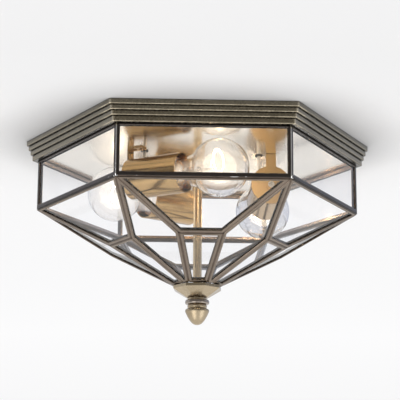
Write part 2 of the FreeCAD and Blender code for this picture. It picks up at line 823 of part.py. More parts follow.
def socket_contact(number):
    """Centre contact on the socket's floor."""
    body = new_body(f"socket_contact_{number}")
    sketch = new_sketch(body, "YZ_Plane", SOCKET_FLOOR)
    circle(sketch, "Sizes.tongue_radius")
    pad(body, sketch, "Sizes.tongue_height")
    place(body, lamp_frame(number))
    return body


def holder_screw(number):
    """Countersunk screw through strip and sleeve into the socket's foot."""
    body = new_body(f"holder_screw_{number}")
    profile = new_sketch(body, "XY_Plane")
    points = [
        (minus("Sizes.strip_thickness"), "0"),
        ("Sizes.screw_length - Sizes.thread_gap", "0"),
        ("Sizes.screw_length - Sizes.thread_gap", "Sizes.screw_radius"),
        (minus("Sizes.thread_gap"), "Sizes.screw_radius"),
        (minus("Sizes.strip_thickness"), "Sizes.screw_head_radius"),
    ]
    outline(profile, points)
    revolve(body, profile, "H_Axis")
    place(body, lamp_frame(number))
    return body


def countersink(bracket, number):
    """Cut the seat of the countersunk screw in a bracket's leg."""
    cutter = new_body(f"countersink_{number}")
    profile = new_sketch(cutter, "XY_Plane")
    gap = "Sizes.thread_gap"
    points = [
        ("-2 * Sizes.strip_thickness", "0"),
        ("Sizes.strip_thickness", "0"),
        ("Sizes.strip_thickness", f"Sizes.screw_radius + {gap}"),
        (minus(gap), f"Sizes.screw_radius + {gap}"),
        (minus("Sizes.strip_thickness"), f"Sizes.screw_head_radius + {gap}"),
        (f"-2 * Sizes.strip_thickness", f"Sizes.screw_head_radius + {gap}"),
    ]
    outline(profile, points)
    revolve(cutter, profile, "H_Axis")
    place(cutter, lamp_frame(number))
    bracket.Label = bracket.Name + "_blank"
    cut = doc.addObject("Part::Cut", f"bracket_cut_{number}")
    cut.Label = f"holder_bracket_{number}"
    cut.Base = bracket
    cut.Tool = cutter
    return cut


def bracket_rivets(number):
    """Two rivets through a bracket's foot and the plate."""
    pieces = []
    for step in range(2):
        body = new_body(f"rivet_{number}_{step}")
        profile = new_sketch(body, "XZ_Plane")
        head = "Sizes.rivet_head_height"
        grip = "(Sizes.strip_thickness + Sizes.plate_thickness)"
        shank = "Sizes.rivet_radius - Sizes.thread_gap"
        points = [
            ("0", minus(head)), ("Sizes.rivet_head_radius", "0"), (shank, "0"),
            (shank, grip), ("Sizes.rivet_head_radius", grip), ("0", f"{grip} + {head}"),
        ]
        dome = f"0.5 * (Sizes.rivet_head_radius^2 / {head} + {head})"
        outline(profile, points, {0: (dome, 1), 4: (dome, 1)})
        revolve(body, profile, "V_Axis")
        rise = f"Sizes.lamp{number}_drop - Sizes.plate_drop - Sizes.strip_thickness"
        place(body, lamp_placement(number, rivet_forward(step), "0", rise))
        pieces.append(body)
    return pieces


def flare_radius():
    """Radius of the hollow curve between a bulb's neck and its globe."""
    reach = f"({BULB_CENTRE} - {NECK_END})"
    globe = "Sizes.bulb_radius"
    neck = "Sizes.bulb_neck_radius"
    return f"(0.5 * ({reach}^2 / ({globe} - {neck}) - {globe} - {neck}))"


def bulb_glass(number):
    """Thin globe with a flared neck, closed at the cap by a flat press."""
    body = new_body(f"bulb_glass_{number}")
    flare = flare_radius()
    span = f"({flare} + Sizes.bulb_radius)"
    share = f"(Sizes.bulb_radius / {span})"
    reach = f"({BULB_CENTRE} - {NECK_END})"
    lift = f"({flare} + Sizes.bulb_neck_radius)"
    touch_x = f"({BULB_CENTRE} - {share} * {reach})"
    touch_y = f"({share} * {lift})"
    inner_share = f"((Sizes.bulb_radius - Sizes.bulb_wall) / {span})"
    inner_x = f"({BULB_CENTRE} - {inner_share} * {reach})"
    inner_y = f"({inner_share} * {lift})"
    wall = "Sizes.bulb_wall"
    neck_start = f"({CAP_END} + {wall})"
    points = [
        (f"{CAP_END} + Sizes.press_gap", "0"),
        (f"{CAP_END} + Sizes.press_gap", f"Sizes.cap_radius - {wall}"),
        (neck_start, "Sizes.bulb_neck_radius"), (NECK_END, "Sizes.bulb_neck_radius"),
        (touch_x, touch_y), (BULB_CENTRE, "Sizes.bulb_radius"), (f"{BULB_CENTRE} + Sizes.bulb_radius", "0"),
        (f"{BULB_CENTRE} + Sizes.bulb_radius - {wall}", "0"), (BULB_CENTRE, f"Sizes.bulb_radius - {wall}"),
        (inner_x, inner_y), (NECK_END, f"Sizes.bulb_neck_radius - {wall}"),
        (f"{neck_start} + {wall}", f"Sizes.bulb_neck_radius - {wall}"), (f"{neck_start} + {wall}", "0"),
    ]
    inner_globe = f"(Sizes.bulb_radius - {wall})"
    inner_flare = f"({flare} + {wall})"
    bends = {
        3: (flare, 1), 4: ("Sizes.bulb_radius", -1), 5: ("Sizes.bulb_radius", -1),
        7: (inner_globe, 1), 8: (inner_globe, 1), 9: (inner_flare, -1),
    }
    profile = new_sketch(body, "XY_Plane")
    outline(profile, points, bends)
    revolve(body, profile, "H_Axis")
    place(body, lamp_frame(number))
    return body


def bulb_cap(number):
    """Thin screw shell of a bulb with its glass insulator."""
    body = new_body(f"bulb_cap_{number}")
    profile = new_sketch(body, "XY_Plane")
    inside = "Sizes.cap_radius - Sizes.cap_wall"
    floor = f"{CAP_START} + 2 * Sizes.cap_wall"
    points = [
        (CONTACT_END, "0"), (CONTACT_END, "Sizes.contact_radius"),
        (CAP_START, "Sizes.insulator_radius"), (CAP_START, inside),
        (f"{CAP_START} + Sizes.cap_wall", "Sizes.cap_radius"), (CAP_END, "Sizes.cap_radius"),
        (CAP_END, inside), (floor, inside), (floor, "0"),
    ]
    outline(profile, points)
    revolve(body, profile, "H_Axis")
    place(body, lamp_frame(number))
    return body


def bulb_contact(number):
    """Centre contact of a bulb."""
    body = new_body(f"bulb_contact_{number}")
    sketch = new_sketch(body, "YZ_Plane", CONTACT_START)
    circle(sketch, "Sizes.contact_radius")
    pad(body, sketch, "Sizes.contact_height")
    soften(body, "Fillet", "Sizes.contact_edge_radius", lambda point: near(point.x, CONTACT_START))
    place(body, lamp_frame(number))
    return body


def bulb_filament(number):
    """Glass stem, two support wires and the filament between them."""
    start = f"({CAP_END} + 2 * Sizes.bulb_wall)"
    stem = new_body(f"stem_{number}")
    base = new_sketch(stem, "YZ_Plane", start)
    circle(base, "Sizes.stem_radius")
    pad(stem, base, "Sizes.stem_length")
    stem_end = f"({start} + Sizes.stem_length)"
    soften(stem, "Fillet", "Sizes.stem_edge_radius", lambda point: near(point.x, stem_end))
    filament_start = f"({stem_end} + Sizes.filament_reach)"
    pieces = [stem]
    spread = "(Sizes.filament_half_span - Sizes.support_offset)"
    half_angle = f"atan({spread} / Sizes.filament_reach)"
    length = f"sqrt(Sizes.filament_reach^2 + {spread}^2) - Sizes.filament_radius - Sizes.support_end_gap"
    for side in (-1, 1):
        wire = new_body(f"support_{number}_{'left' if side < 0 else 'right'}")
        sketch = new_sketch(wire, "YZ_Plane")
        circle(sketch, "Sizes.support_radius")
        pad(wire, sketch, length)
        local = (f"placement(vector({stem_end} + Sizes.support_radius; {side} * Sizes.support_offset; 0); "
                 f"rotation(vector(0; 0; 1); {side} * {half_angle}))")
        place(wire, f"{lamp_frame(number)} * {local}")
        pieces.append(wire)
    coil = new_body(f"filament_{number}")
    sketch = new_sketch(coil, "XZ_Plane")
    circle(sketch, "Sizes.filament_radius", filament_start, "0")
    pad(coil, sketch, "2 * Sizes.filament_half_span", both=True)
    place(stem, lamp_frame(number))
    place(coil, lamp_frame(number))
    pieces.append(coil)
    return group(f"bulb_filament_{number}", pieces)


def plate_grommet(number):
    """Flanged rubber ring round a lead where it passes the plate."""
    body = new_body(f"grommet_{number}")
    profile = new_sketch(body, "XZ_Plane")
    inner = "(Sizes.lead_radius + Sizes.grommet_gap)"
    outer = f"({inner} + Sizes.grommet_wall)"
    flange = f"({outer} + Sizes.grommet_flange)"
    lip = "Sizes.grommet_flange_height"
    plate = "Sizes.plate_thickness"
    points = [
        (inner, minus(lip)), (flange, minus(lip)), (flange, "0"), (outer, "0"), (outer, plate),
        (flange, plate), (flange, f"{plate} + {lip}"), (inner, f"{plate} + {lip}"),
    ]
    outline(profile, points)
    revolve(body, profile, "V_Axis")
    rise = f"Sizes.lamp{number}_drop - Sizes.plate_drop"
    place(body, lamp_placement(number, "Sizes.lead_forward", "Sizes.lead_side", rise))
    return body


def tube_along(points, radius, bends):
    """Sweep a round section along straight runs joined by tangent arcs, one for each corner."""
    edges = []
    start = points[0]
    for index, bend in enumerate(bends, start=1):
        corner = points[index]
        arrive = (corner - points[index - 1]).normalize()
        leave = (points[index + 1] - corner).normalize()
        half_turn = arrive.getAngle(leave) * 0.5
        trim = bend * math.tan(half_turn)
        arc_start = corner - arrive * trim
        arc_end = corner + leave * trim
        inward = (leave - arrive).normalize()
        arc_middle = corner + inward * (bend / math.cos(half_turn) - bend)
        edges.append(Part.makeLine(start, arc_start))
        edges.append(Part.Arc(arc_start, arc_middle, arc_end).toShape())
        start = arc_end
    edges.append(Part.makeLine(start, points[-1]))
    path = Part.Wire(edges)
    direction = points[1] - points[0]
    section = Part.Wire(Part.makeCircle(radius, points[0], direction))
    tube = path.makePipeShell([section], True, False)
    expected = math.pi * radius * radius * path.Length
    print("lead: length %.1f, bends %s, volume share %.4f" % (path.Length, bends, tube.Volume / expected))
    return tube


def lamp_lead(number):
    """Lead from the terminal block over the plate, down through its grommet into the sleeve."""
    radius = value("Sizes.lead_radius")
    bends = [value("Sizes.lead_turn_bend"), value("Sizes.lead_bend")]
    level = -value("Sizes.lead_drop")
    front = value("Sizes.block_offset - 0.5 * Sizes.block_width")
    rear = value("Sizes.block_offset + 0.5 * Sizes.block_width")
    x, y = lamp_point(number, "Sizes.lead_forward", "Sizes.lead_side")
    down_x = value(x)
    down_y = value(y)
    pitch = value("Sizes.block_pitch")
    depth = value("Sizes.block_entry_depth")
    entry_x = {1: -pitch, 2: 0.0, 3: pitch}[number]
    away = 1 if number == 2 else -1
    face = rear if number == 2 else front
    entry = FreeCAD.Vector(entry_x, face - away * depth, level)
    turn = FreeCAD.Vector(entry_x, face + away * bends[0], level)
    over = FreeCAD.Vector(down_x, down_y, level)
    end = FreeCAD.Vector(down_x, down_y, value(lead_end(number)))
    feature = doc.addObject("Part::Feature", f"lead_{number}")
    feature.Shape = tube_along([entry, turn, over, end], radius, bends)
    return feature


def lead_end(number):
    """Height where a lead stops, inside the sleeve beside the socket's foot."""
    return f"(Sizes.lead_end_rise - Sizes.lamp{number}_drop)"


def trapezoid(half_top, half_bottom, length, top, side, bottom):
    """Corners of a symmetric pane drawn in by its top, side and bottom insets."""
    slope = f"(({half_top} - {half_bottom}) / {length})"
    stretch = f"sqrt(1 + {slope}^2)"
    upper = f"({half_top} - {slope} * {top} - {side} * {stretch})"
    lower = f"({half_bottom} + {slope} * {bottom} - {side} * {stretch})"
    return [
        (minus(lower), f"{bottom} - {length}"), (lower, f"{bottom} - {length}"),
        (upper, minus(top)), (minus(upper), minus(top)),
    ]


def side_pane(top, side, bottom):
    half = f"(0.5 * {CAGE_CORNER})"
    return trapezoid(half, half, SIDE_LENGTH, top, side, bottom)


def shoulder_pane(top, side, bottom):
    half = f"(0.5 * {CAGE_CORNER})"
    return trapezoid(half, "Sizes.bar_half_length", SHOULDER_LENGTH, top, side, bottom)


def throat_pane(top, side, bottom):
    return trapezoid("Sizes.bar_half_length", "Sizes.hub_end_half", THROAT_LENGTH, top, side, bottom)


def kite_pane(upper, lower, end):
    """Corners of a kite pane drawn in by its upper, lower and end insets."""
    widen = f"({BAR_END_SIDE} / {KITE_BAR})"
    narrow = f"(({BAR_END_SIDE} - {HUB_END_SIDE}) / ({KITE_LENGTH} - {KITE_BAR}))"
    upper_shift = f"({upper} * sqrt(1 + {widen}^2))"
    lower_shift = f"({lower} * sqrt(1 + {narrow}^2))"
    top = f"({upper_shift} / {widen})"
    reach = f"({BAR_END_SIDE} + {narrow} * {KITE_BAR} + {upper_shift} - {lower_shift})"
    elbow = f"({reach} / ({widen} + {narrow}))"
    elbow_side = f"({widen} * {elbow} - {upper_shift})"
    foot = f"({KITE_LENGTH} - {end})"
    foot_side = f"({HUB_END_SIDE} + {narrow} * {end} - {lower_shift})"
    return [
        (minus(foot_side), minus(foot)), (foot_side, minus(foot)), (elbow_side, minus(elbow)),
        ("0", minus(top)), (minus(elbow_side), minus(elbow)),
    ]


def half_turn_inset(cosine):
    """Inset at the inner face of a frame whose neighbour's plane makes an angle of this cosine."""
    return f"(Sizes.came_depth * tan(0.5 * acos({cosine})) + Sizes.inner_half_gap)"


SHOULDER_COSINE = f"({SHOULDER_RISE} / {SHOULDER_LENGTH})"
KITE_NORMAL = f"sqrt({SHOULDER_RISE}^2 + {KITE_RUN}^2)"
SHOULDER_KITE_COSINE = (f"(({SHOULDER_RISE}^2 * cos(30) + {SHOULDER_RUN} * {KITE_RUN})"
                        f" / ({SHOULDER_LENGTH} * {KITE_NORMAL}))")
THROAT_KITE_COSINE = (f"(({THROAT_RISE} * {SHOULDER_RISE} * cos(30) + {THROAT_RUN} * {KITE_RUN})"
                      f" / ({THROAT_LENGTH} * {KITE_NORMAL}))")
SHOULDER_THROAT_COSINE = (f"(({SHOULDER_RISE} * {THROAT_RISE} + {SHOULDER_RUN} * {THROAT_RUN})"
                          f" / ({SHOULDER_LENGTH} * {THROAT_LENGTH}))")
SIDE_INSET = half_turn_inset("0.5")
RING_INSET = half_turn_inset(SHOULDER_COSINE)
DIAGONAL_INSET = half_turn_inset(SHOULDER_KITE_COSINE)
GROIN_INSET = half_turn_inset(THROAT_KITE_COSINE)
BAR_INSET = half_turn_inset(SHOULDER_THROAT_COSINE)
SEAM = "Sizes.seam_half_gap"
CAME = "Sizes.came_width"

# For each kind of pane: its outline, the insets of its outer face, of its inner face
# and of its window, and its tilt about the local X axis
PANES = {
    "side": (side_pane, ("0", SEAM, SEAM), ("0", SIDE_INSET, RING_INSET),
             (CAME, CAME, "Sizes.ring_rail"), "90"),
    "shoulder": (shoulder_pane, (SEAM, SEAM, SEAM), (RING_INSET, DIAGONAL_INSET, BAR_INSET),
                 ("Sizes.shoulder_rail", CAME, CAME), f"(90 deg + atan({SHOULDER_RUN} / {SHOULDER_RISE}))"),
    "throat": (throat_pane, (SEAM, SEAM, "0"), (BAR_INSET, GROIN_INSET, "0"), (CAME, CAME, CAME),
               f"(90 deg + atan({THROAT_RUN} / {THROAT_RISE}))"),
    "kite": (kite_pane, (SEAM, SEAM, "0"), (DIAGONAL_INSET, GROIN_INSET, "0"),
             (CAME, CAME, "Sizes.kite_end_rail"), f"(90 deg + atan({KITE_RUN} / {SHOULDER_RISE}))"),
}


def pane_placement(kind, index):
    """Placement of a pane: its top edge's middle, turned to its side or corner, and tilted."""
    tilt = PANES[kind][4]
    starts = {
        "side": (CAGE_APOTHEM, CAGE_TOP, 0),
        "shoulder": (CAGE_APOTHEM, "Sizes.ring_drop", 0),
        "throat": ("Sizes.bar_apothem", "Sizes.bar_drop", 0),
        "kite": (CAGE_CORNER, "Sizes.ring_drop", 0.5),
    }
    radius, drop, shift = starts[kind]
    turn = (index + shift) * 360 / SIDES
    return (f"placement(vector({radius} * sin({turn}); -{radius} * cos({turn}); -{drop}); "
            f"rotation(vector(0; 0; 1); {turn}) * rotation(vector(1; 0; 0); {tilt}))")


def drawn_in(insets, change):
    return [f"({inset} + {change})" for inset in insets]


def pane_frame(kind, index, name):
    """Came frame of one pane: tapered to meet its neighbours, with a window and a glass slot."""
    shape, outer, inner, window, tilt = PANES[kind]
    body = new_body(name)
    face = new_sketch(body, "XY_Plane")
    outline(face, shape(*outer))
    back = new_sketch(body, "XY_Plane", minus("Sizes.came_depth"))
    outline(back, shape(*inner))
    loft(body, [face, back])
    opening = new_sketch(body, "XY_Plane")
    outline(opening, shape(*window))
    pocket(body, opening, "Sizes.came_depth")
    slot = new_sketch(body, "XY_Plane", minus("Sizes.came_lip"))
    outline(slot, shape(*drawn_in(window, "(-Sizes.came_slot)")))
    pocket(body, slot, "Sizes.glass_thickness + 2 * Sizes.glass_gap")
    soften(body, "Chamfer", "Sizes.came_bevel", lambda point: abs(point.z) < TOLERANCE)
    place(body, pane_placement(kind, index))
    return body


def pane_glass(kind, index):
    """Clear pane in a frame's slot."""
    shape, outer, inner, window, tilt = PANES[kind]
    body = new_body(f"{kind}_glass_{index + 1}")
    sketch = new_sketch(body, "XY_Plane", "-(Sizes.came_lip + Sizes.glass_gap)")
    outline(sketch, shape(*drawn_in(window, "(Sizes.glass_gap - Sizes.came_slot)")))
    pad(body, sketch, "Sizes.glass_thickness", reverse=True)
    place(body, pane_placement(kind, index))
    return body


def hub_cap():
    """Octagonal hub under the cage: rim, cone and neck, bored for the rod."""
    body = new_body("hub_cap")
    apothem = "0.5 * Sizes.hub_flats"
    corners = dict(turn="Sizes.hub_turn", start="22.5")
    rim = new_sketch(body, "XY_Plane", minus(HUB_TOP))
    outline(rim, regular_points(HUB_SIDES, apothem, **corners))
    pad(body, rim, "Sizes.hub_rim", reverse=True)
    wide = new_sketch(body, "XY_Plane", minus(CONE_TOP))
    outline(wide, regular_points(HUB_SIDES, apothem, **corners))
    narrow = new_sketch(body, "XY_Plane", minus(NECK_TOP))
    outline(narrow, regular_points(HUB_SIDES, "Sizes.neck_radius", **corners))
    loft(body, [wide, narrow])
    neck = new_sketch(body, "XY_Plane", minus(NECK_TOP))
    circle(neck, "Sizes.neck_radius")
    pad(body, neck, "Sizes.neck_height", reverse=True)
    bore = new_sketch(body, "XY_Plane", minus(HUB_TOP))
    circle(bore, ROD_HOLE)
    pocket(body, bore, f"{COLLAR_TOP} - {HUB_TOP}")
    return body


def finial_washer():
    """Rounded collar between the hub and the acorn."""
    body = ring_body("finial_washer", "Sizes.collar_radius", ROD_HOLE, COLLAR_TOP, "Sizes.collar_height")

    def on_outer_circle(point):
        level = near(point.z, minus(COLLAR_TOP)) or near(point.z, minus(BEAD_TOP))
        return level and near(math.hypot(point.x, point.y), "Sizes.collar_radius")

    soften(body, "Fillet", "Sizes.collar_edge_radius", on_outer_circle)
    return body


def finial_acorn():
    """Acorn nut with its bead, tapped from above for the rod's end."""
    body = new_body("finial_acorn")
    profile = new_sketch(body, "XZ_Plane")
    bore_end = f"({ROD_END} + Sizes.bore_end_gap)"
    widest = f"({ACORN_TOP} + Sizes.acorn_shoulder)"
    tip = f"({ACORN_TOP} + Sizes.acorn_length)"
    tip_top = f"({tip} - Sizes.acorn_tip_height)"
    bead_mid = f"({BEAD_TOP} + 0.5 * Sizes.bead_height)"
    bead_in = "(Sizes.bead_radius - Sizes.bead_inset)"
    points = [
        ("0", minus(bore_end)), (THREAD_HOLE, minus(bore_end)), (THREAD_HOLE, minus(BEAD_TOP)),
        (bead_in, minus(BEAD_TOP)), ("Sizes.bead_radius", minus(bead_mid)), (bead_in, minus(ACORN_TOP)),
        ("Sizes.acorn_radius", minus(widest)), ("Sizes.acorn_tip_radius", minus(tip_top)), ("0", minus(tip)),
    ]
    bends = {
        3: ("Sizes.bead_bend", -1), 4: ("Sizes.bead_bend", -1), 5: ("Sizes.acorn_shoulder_bend", -1),
        6: ("Sizes.acorn_side_bend", -1),
    }
    outline(profile, points, bends)
    revolve(body, profile, "V_Axis")
    return body


def build_nodes():
    """Make every sub-part and return those that are written out."""
    lamps = range(1, LAMP_COUNT + 1)
    nodes = [ceiling_pan(), reflector_plate(), ceiling_strap(), threaded_rod()]
    nodes += rod_hardware()
    nodes += [centre_tube(), terminal_block(), terminal_screws(), earth_post()]
    nodes.append(group("lamp_leads", [lamp_lead(number) for number in lamps]))
    nodes.append(group("plate_grommets", [plate_grommet(number) for number in lamps]))
    nodes += [countersink(holder_bracket(number), number) for number in lamps]
    nodes += [lamp_sleeve(number) for number in lamps]
    nodes += [lamp_socket(number) for number in lamps]
    nodes.append(group("socket_contacts", [socket_contact(number) for number in lamps]))
    nodes.append(group("holder_screws", [holder_screw(number) for number in lamps]))
    nodes.append(group("bracket_rivets", [rivet for number in lamps for rivet in bracket_rivets(number)]))
    for number in lamps:
        nodes += [bulb_contact(number), bulb_cap(number), bulb_glass(number), bulb_filament(number)]
    nodes += [pane_frame("side", index, f"side_frame_{index + 1}") for index in range(SIDES)]
    nodes += [pane_frame("shoulder", index, f"shoulder_frame_{index + 1}") for index in range(SIDES)]
    for kind in ("kite", "throat"):
        frames = [pane_frame(kind, index, f"{kind}_frame_{index + 1}") for index in range(SIDES)]
        nodes.append(group(f"{kind}_frames", frames))
    for kind in PANES:
        nodes.append(group(f"{kind}_glass", [pane_glass(kind, index) for index in range(SIDES)]))
    nodes += [hub_cap(), finial_washer(), finial_acorn()]
    return nodes


def check_document(nodes):
    """Stop if any object failed to compute or any sub-part has no sound shape."""
    for item in doc.Objects:
        if "Invalid" in item.State or "Error" in item.State:
            raise RuntimeError(f"{item.Label} failed: {item.State}")
    for node in nodes:
        if node.Shape.isNull() or not node.Shape.isValid() or not node.Shape.Solids:
            raise RuntimeError(f"{node.Label} has no sound shape")


nodes = build_nodes()
doc.recompute()
check_document(nodes)
os.makedirs("parts", exist_ok=True)
for node in nodes:
    node.Shape.exportStep(os.path.join("parts", node.Label + ".step"))
print(len(nodes), "sub-parts written")
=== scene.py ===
import math
import random

import bmesh
import bpy
from mathutils import Matrix, Vector


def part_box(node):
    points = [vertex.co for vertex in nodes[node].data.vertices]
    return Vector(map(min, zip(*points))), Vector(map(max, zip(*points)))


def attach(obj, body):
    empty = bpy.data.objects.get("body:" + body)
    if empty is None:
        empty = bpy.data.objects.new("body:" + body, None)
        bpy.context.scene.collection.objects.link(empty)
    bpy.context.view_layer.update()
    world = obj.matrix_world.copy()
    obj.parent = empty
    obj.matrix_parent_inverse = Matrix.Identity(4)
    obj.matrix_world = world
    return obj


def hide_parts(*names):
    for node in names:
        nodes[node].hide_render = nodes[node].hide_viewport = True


# Hexagonal brass and glass ceiling light, in the CAD's frame: the ceiling is z = 0, +Z is up, and a flat
# side of the hexagon looks along -Y. Blender works in metres. Lengths of the object's own pieces are
# written in millimetres and multiplied by MM where they are used.

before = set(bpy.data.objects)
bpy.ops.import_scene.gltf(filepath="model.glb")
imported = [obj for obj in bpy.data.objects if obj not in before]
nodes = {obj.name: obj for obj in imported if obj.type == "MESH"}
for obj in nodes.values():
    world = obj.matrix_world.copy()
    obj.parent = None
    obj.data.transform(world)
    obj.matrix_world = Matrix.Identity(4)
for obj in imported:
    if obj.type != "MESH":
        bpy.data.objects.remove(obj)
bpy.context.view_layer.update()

MM = 0.001
SIDES = 6

# A lamp's axis runs at right angles to the direction "turn", in degrees round Z from the front, and passes
# "offset" mm from the middle. It starts at the sleeve's back, "back" mm behind the point nearest the middle
# and "drop" mm below the ceiling, and dips outward by "tilt" degrees. "ring" is the radius of the filament,
# and "lift" the height of the ring's middle above the axis.
LAMPS = {
    1: dict(turn=-29.8, offset=76.8, back=38.3, drop=52.6, tilt=-0.6, ring=11.5, lift=7.0),
    2: dict(turn=215.5, offset=71.3, back=45.0, drop=49.2, tilt=0.6, ring=9.5, lift=0.0),
    3: dict(turn=90.2, offset=75.6, back=38.1, drop=53.2, tilt=2.9, ring=9.5, lift=0.0),
}


def turned_point(radius, side, turn, z):
    """A point at a distance out and beside, turned round Z from the front face."""
    angle = math.radians(turn)
    x = radius * math.sin(angle) + side * math.cos(angle)
    y = -radius * math.cos(angle) + side * math.sin(angle)
    return Vector((x, y, z))


def lamp_matrix(number):
    """Frame of a lamp: local X runs out along its axis from the sleeve's back."""
    lamp = LAMPS[number]
    place = turned_point(lamp["offset"], -lamp["back"], lamp["turn"], -lamp["drop"]) * MM
    turn = Matrix.Rotation(math.radians(lamp["turn"]), 4, "Z")
    tilt = Matrix.Rotation(math.radians(lamp["tilt"]), 4, "Y")
    return Matrix.Translation(place) @ turn @ tilt


# ---------------------------------------------------------------- shader nodes

class Tree:
    """Node tree of a material or the world, with short ways to add and join nodes."""

    def __init__(self, owner, output="OutputMaterial"):
        owner.use_nodes = True
        self.owner = owner
        self.nodes = owner.node_tree.nodes
        self.links = owner.node_tree.links
        self.nodes.clear()
        self.output = self.add(output)
        self.sources = {}

    def add(self, kind, values=None, **settings):
        node = self.nodes.new("ShaderNode" + kind)
        for key, setting in settings.items():
            setattr(node, key, setting)
        for socket, value in (values or {}).items():
            self.feed(node.inputs[socket], value)
        return node

    def feed(self, socket, value):
        if isinstance(value, bpy.types.NodeSocket):
            self.links.new(value, socket)
        else:
            socket.default_value = value

    def source(self, kind, output):
        """An output of a node that needs no inputs, which is made once."""
        if kind not in self.sources:
            self.sources[kind] = self.add(kind)
        return self.sources[kind].outputs[output]

    def coordinates(self):
        return self.source("TexCoord", "Object")

    def part(self, vector, axis):
        return self.add("SeparateXYZ", {"Vector": vector}).outputs[axis]

    def noise(self, scale, detail=3.0, roughness=0.55, stretch=(1, 1, 1), distortion=0.0):
        mapped = self.add("Mapping", {"Vector": self.coordinates(), "Scale": stretch})
        node = self.add("TexNoise", {"Vector": mapped.outputs["Vector"], "Scale": scale, "Detail": detail,
                                     "Roughness": roughness, "Distortion": distortion})
        return node.outputs["Fac"]

    def ramp(self, factor, stops):
        node = self.add("ValToRGB", {"Fac": factor})
        elements = node.color_ramp.elements
        while len(elements) < len(stops):
            elements.new(0.5)
        for element, (place, colour) in zip(elements, stops):
            element.position = place
            element.color = rgba(colour)
        return node.outputs["Color"]

    def span(self, factor, low, high, start=0.0, end=1.0, **settings):
        """From low where the factor is start to high where it is end."""
        node = self.add("MapRange", {"Value": factor, "From Min": start, "From Max": end,
                                     "To Min": low, "To Max": high}, **settings)
        return node.outputs["Result"]

    def maths(self, kind, first, second=0.0):
        return self.add("Math", {0: first, 1: second}, operation=kind).outputs["Value"]

    def inverse(self, value):
        return self.maths("SUBTRACT", 1.0, value)

    def blend(self, share, first, second):
        """The share of the first number and the rest of the second."""
        return self.maths("ADD", self.maths("MULTIPLY", share, first),
                          self.maths("MULTIPLY", self.inverse(share), second))

    def vector_maths(self, kind, *vectors, output="Vector"):
        return self.add("VectorMath", dict(enumerate(vectors)), operation=kind).outputs[output]

    def mix(self, factor, first, second):
        """Mix of two colours."""
        node = self.add("Mix", data_type="RGBA")
        self.feed(node.inputs["Factor"], factor)
        for name, colour in (("A", first), ("B", second)):
            socket = next(item for item in node.inputs if item.name == name and item.type == "RGBA")
            self.feed(socket, colour)
        return next(item for item in node.outputs if item.type == "RGBA")

    def shader_mix(self, factor, first, second):
        return self.add("MixShader", {0: factor, 1: first, 2: second}).outputs["Shader"]

    def shader(self, kind, values=None):
        """The output of a shader node, which is its first."""
        return self.add(kind, values).outputs[0]

    def bump(self, height, strength, distance, normal=None):
        values = {"Height": height, "Strength": strength, "Distance": distance}
        if normal is not None:
            values["Normal"] = normal
        return self.add("Bump", values).outputs["Normal"]

    def finish(self, shader):
        self.links.new(shader, self.output.inputs["Surface"])
        return self.owner


def material_tree(name):
    return Tree(bpy.data.materials.new(name))


def rgba(colour, level=1.0):
    """A colour with its alpha, made darker by a level below 1."""
    return (*(level * part for part in colour), 1)


# ---------------------------------------------------------------- materials

# Depths below the ceiling, in millimetres, of the lower edges of the pan's bands, and of the end of their bright
# lines, wear in part and painted highlight in part.
BAND_EDGES = (5.0, 10.15, 15.3, 21.2)
WEAR_AND_HIGHLIGHT_DEPTH = 21.5
# Values of y, in metres, between which the bright edges, wear in part and painted highlight in part, and the
# painted shade of the pan's sides turn into those of its front.
PAN_FRONT = (-0.135, -0.145)
# Slope of the plate's shading normal for each metre from its middle.
PLATE_BOW = 0.22


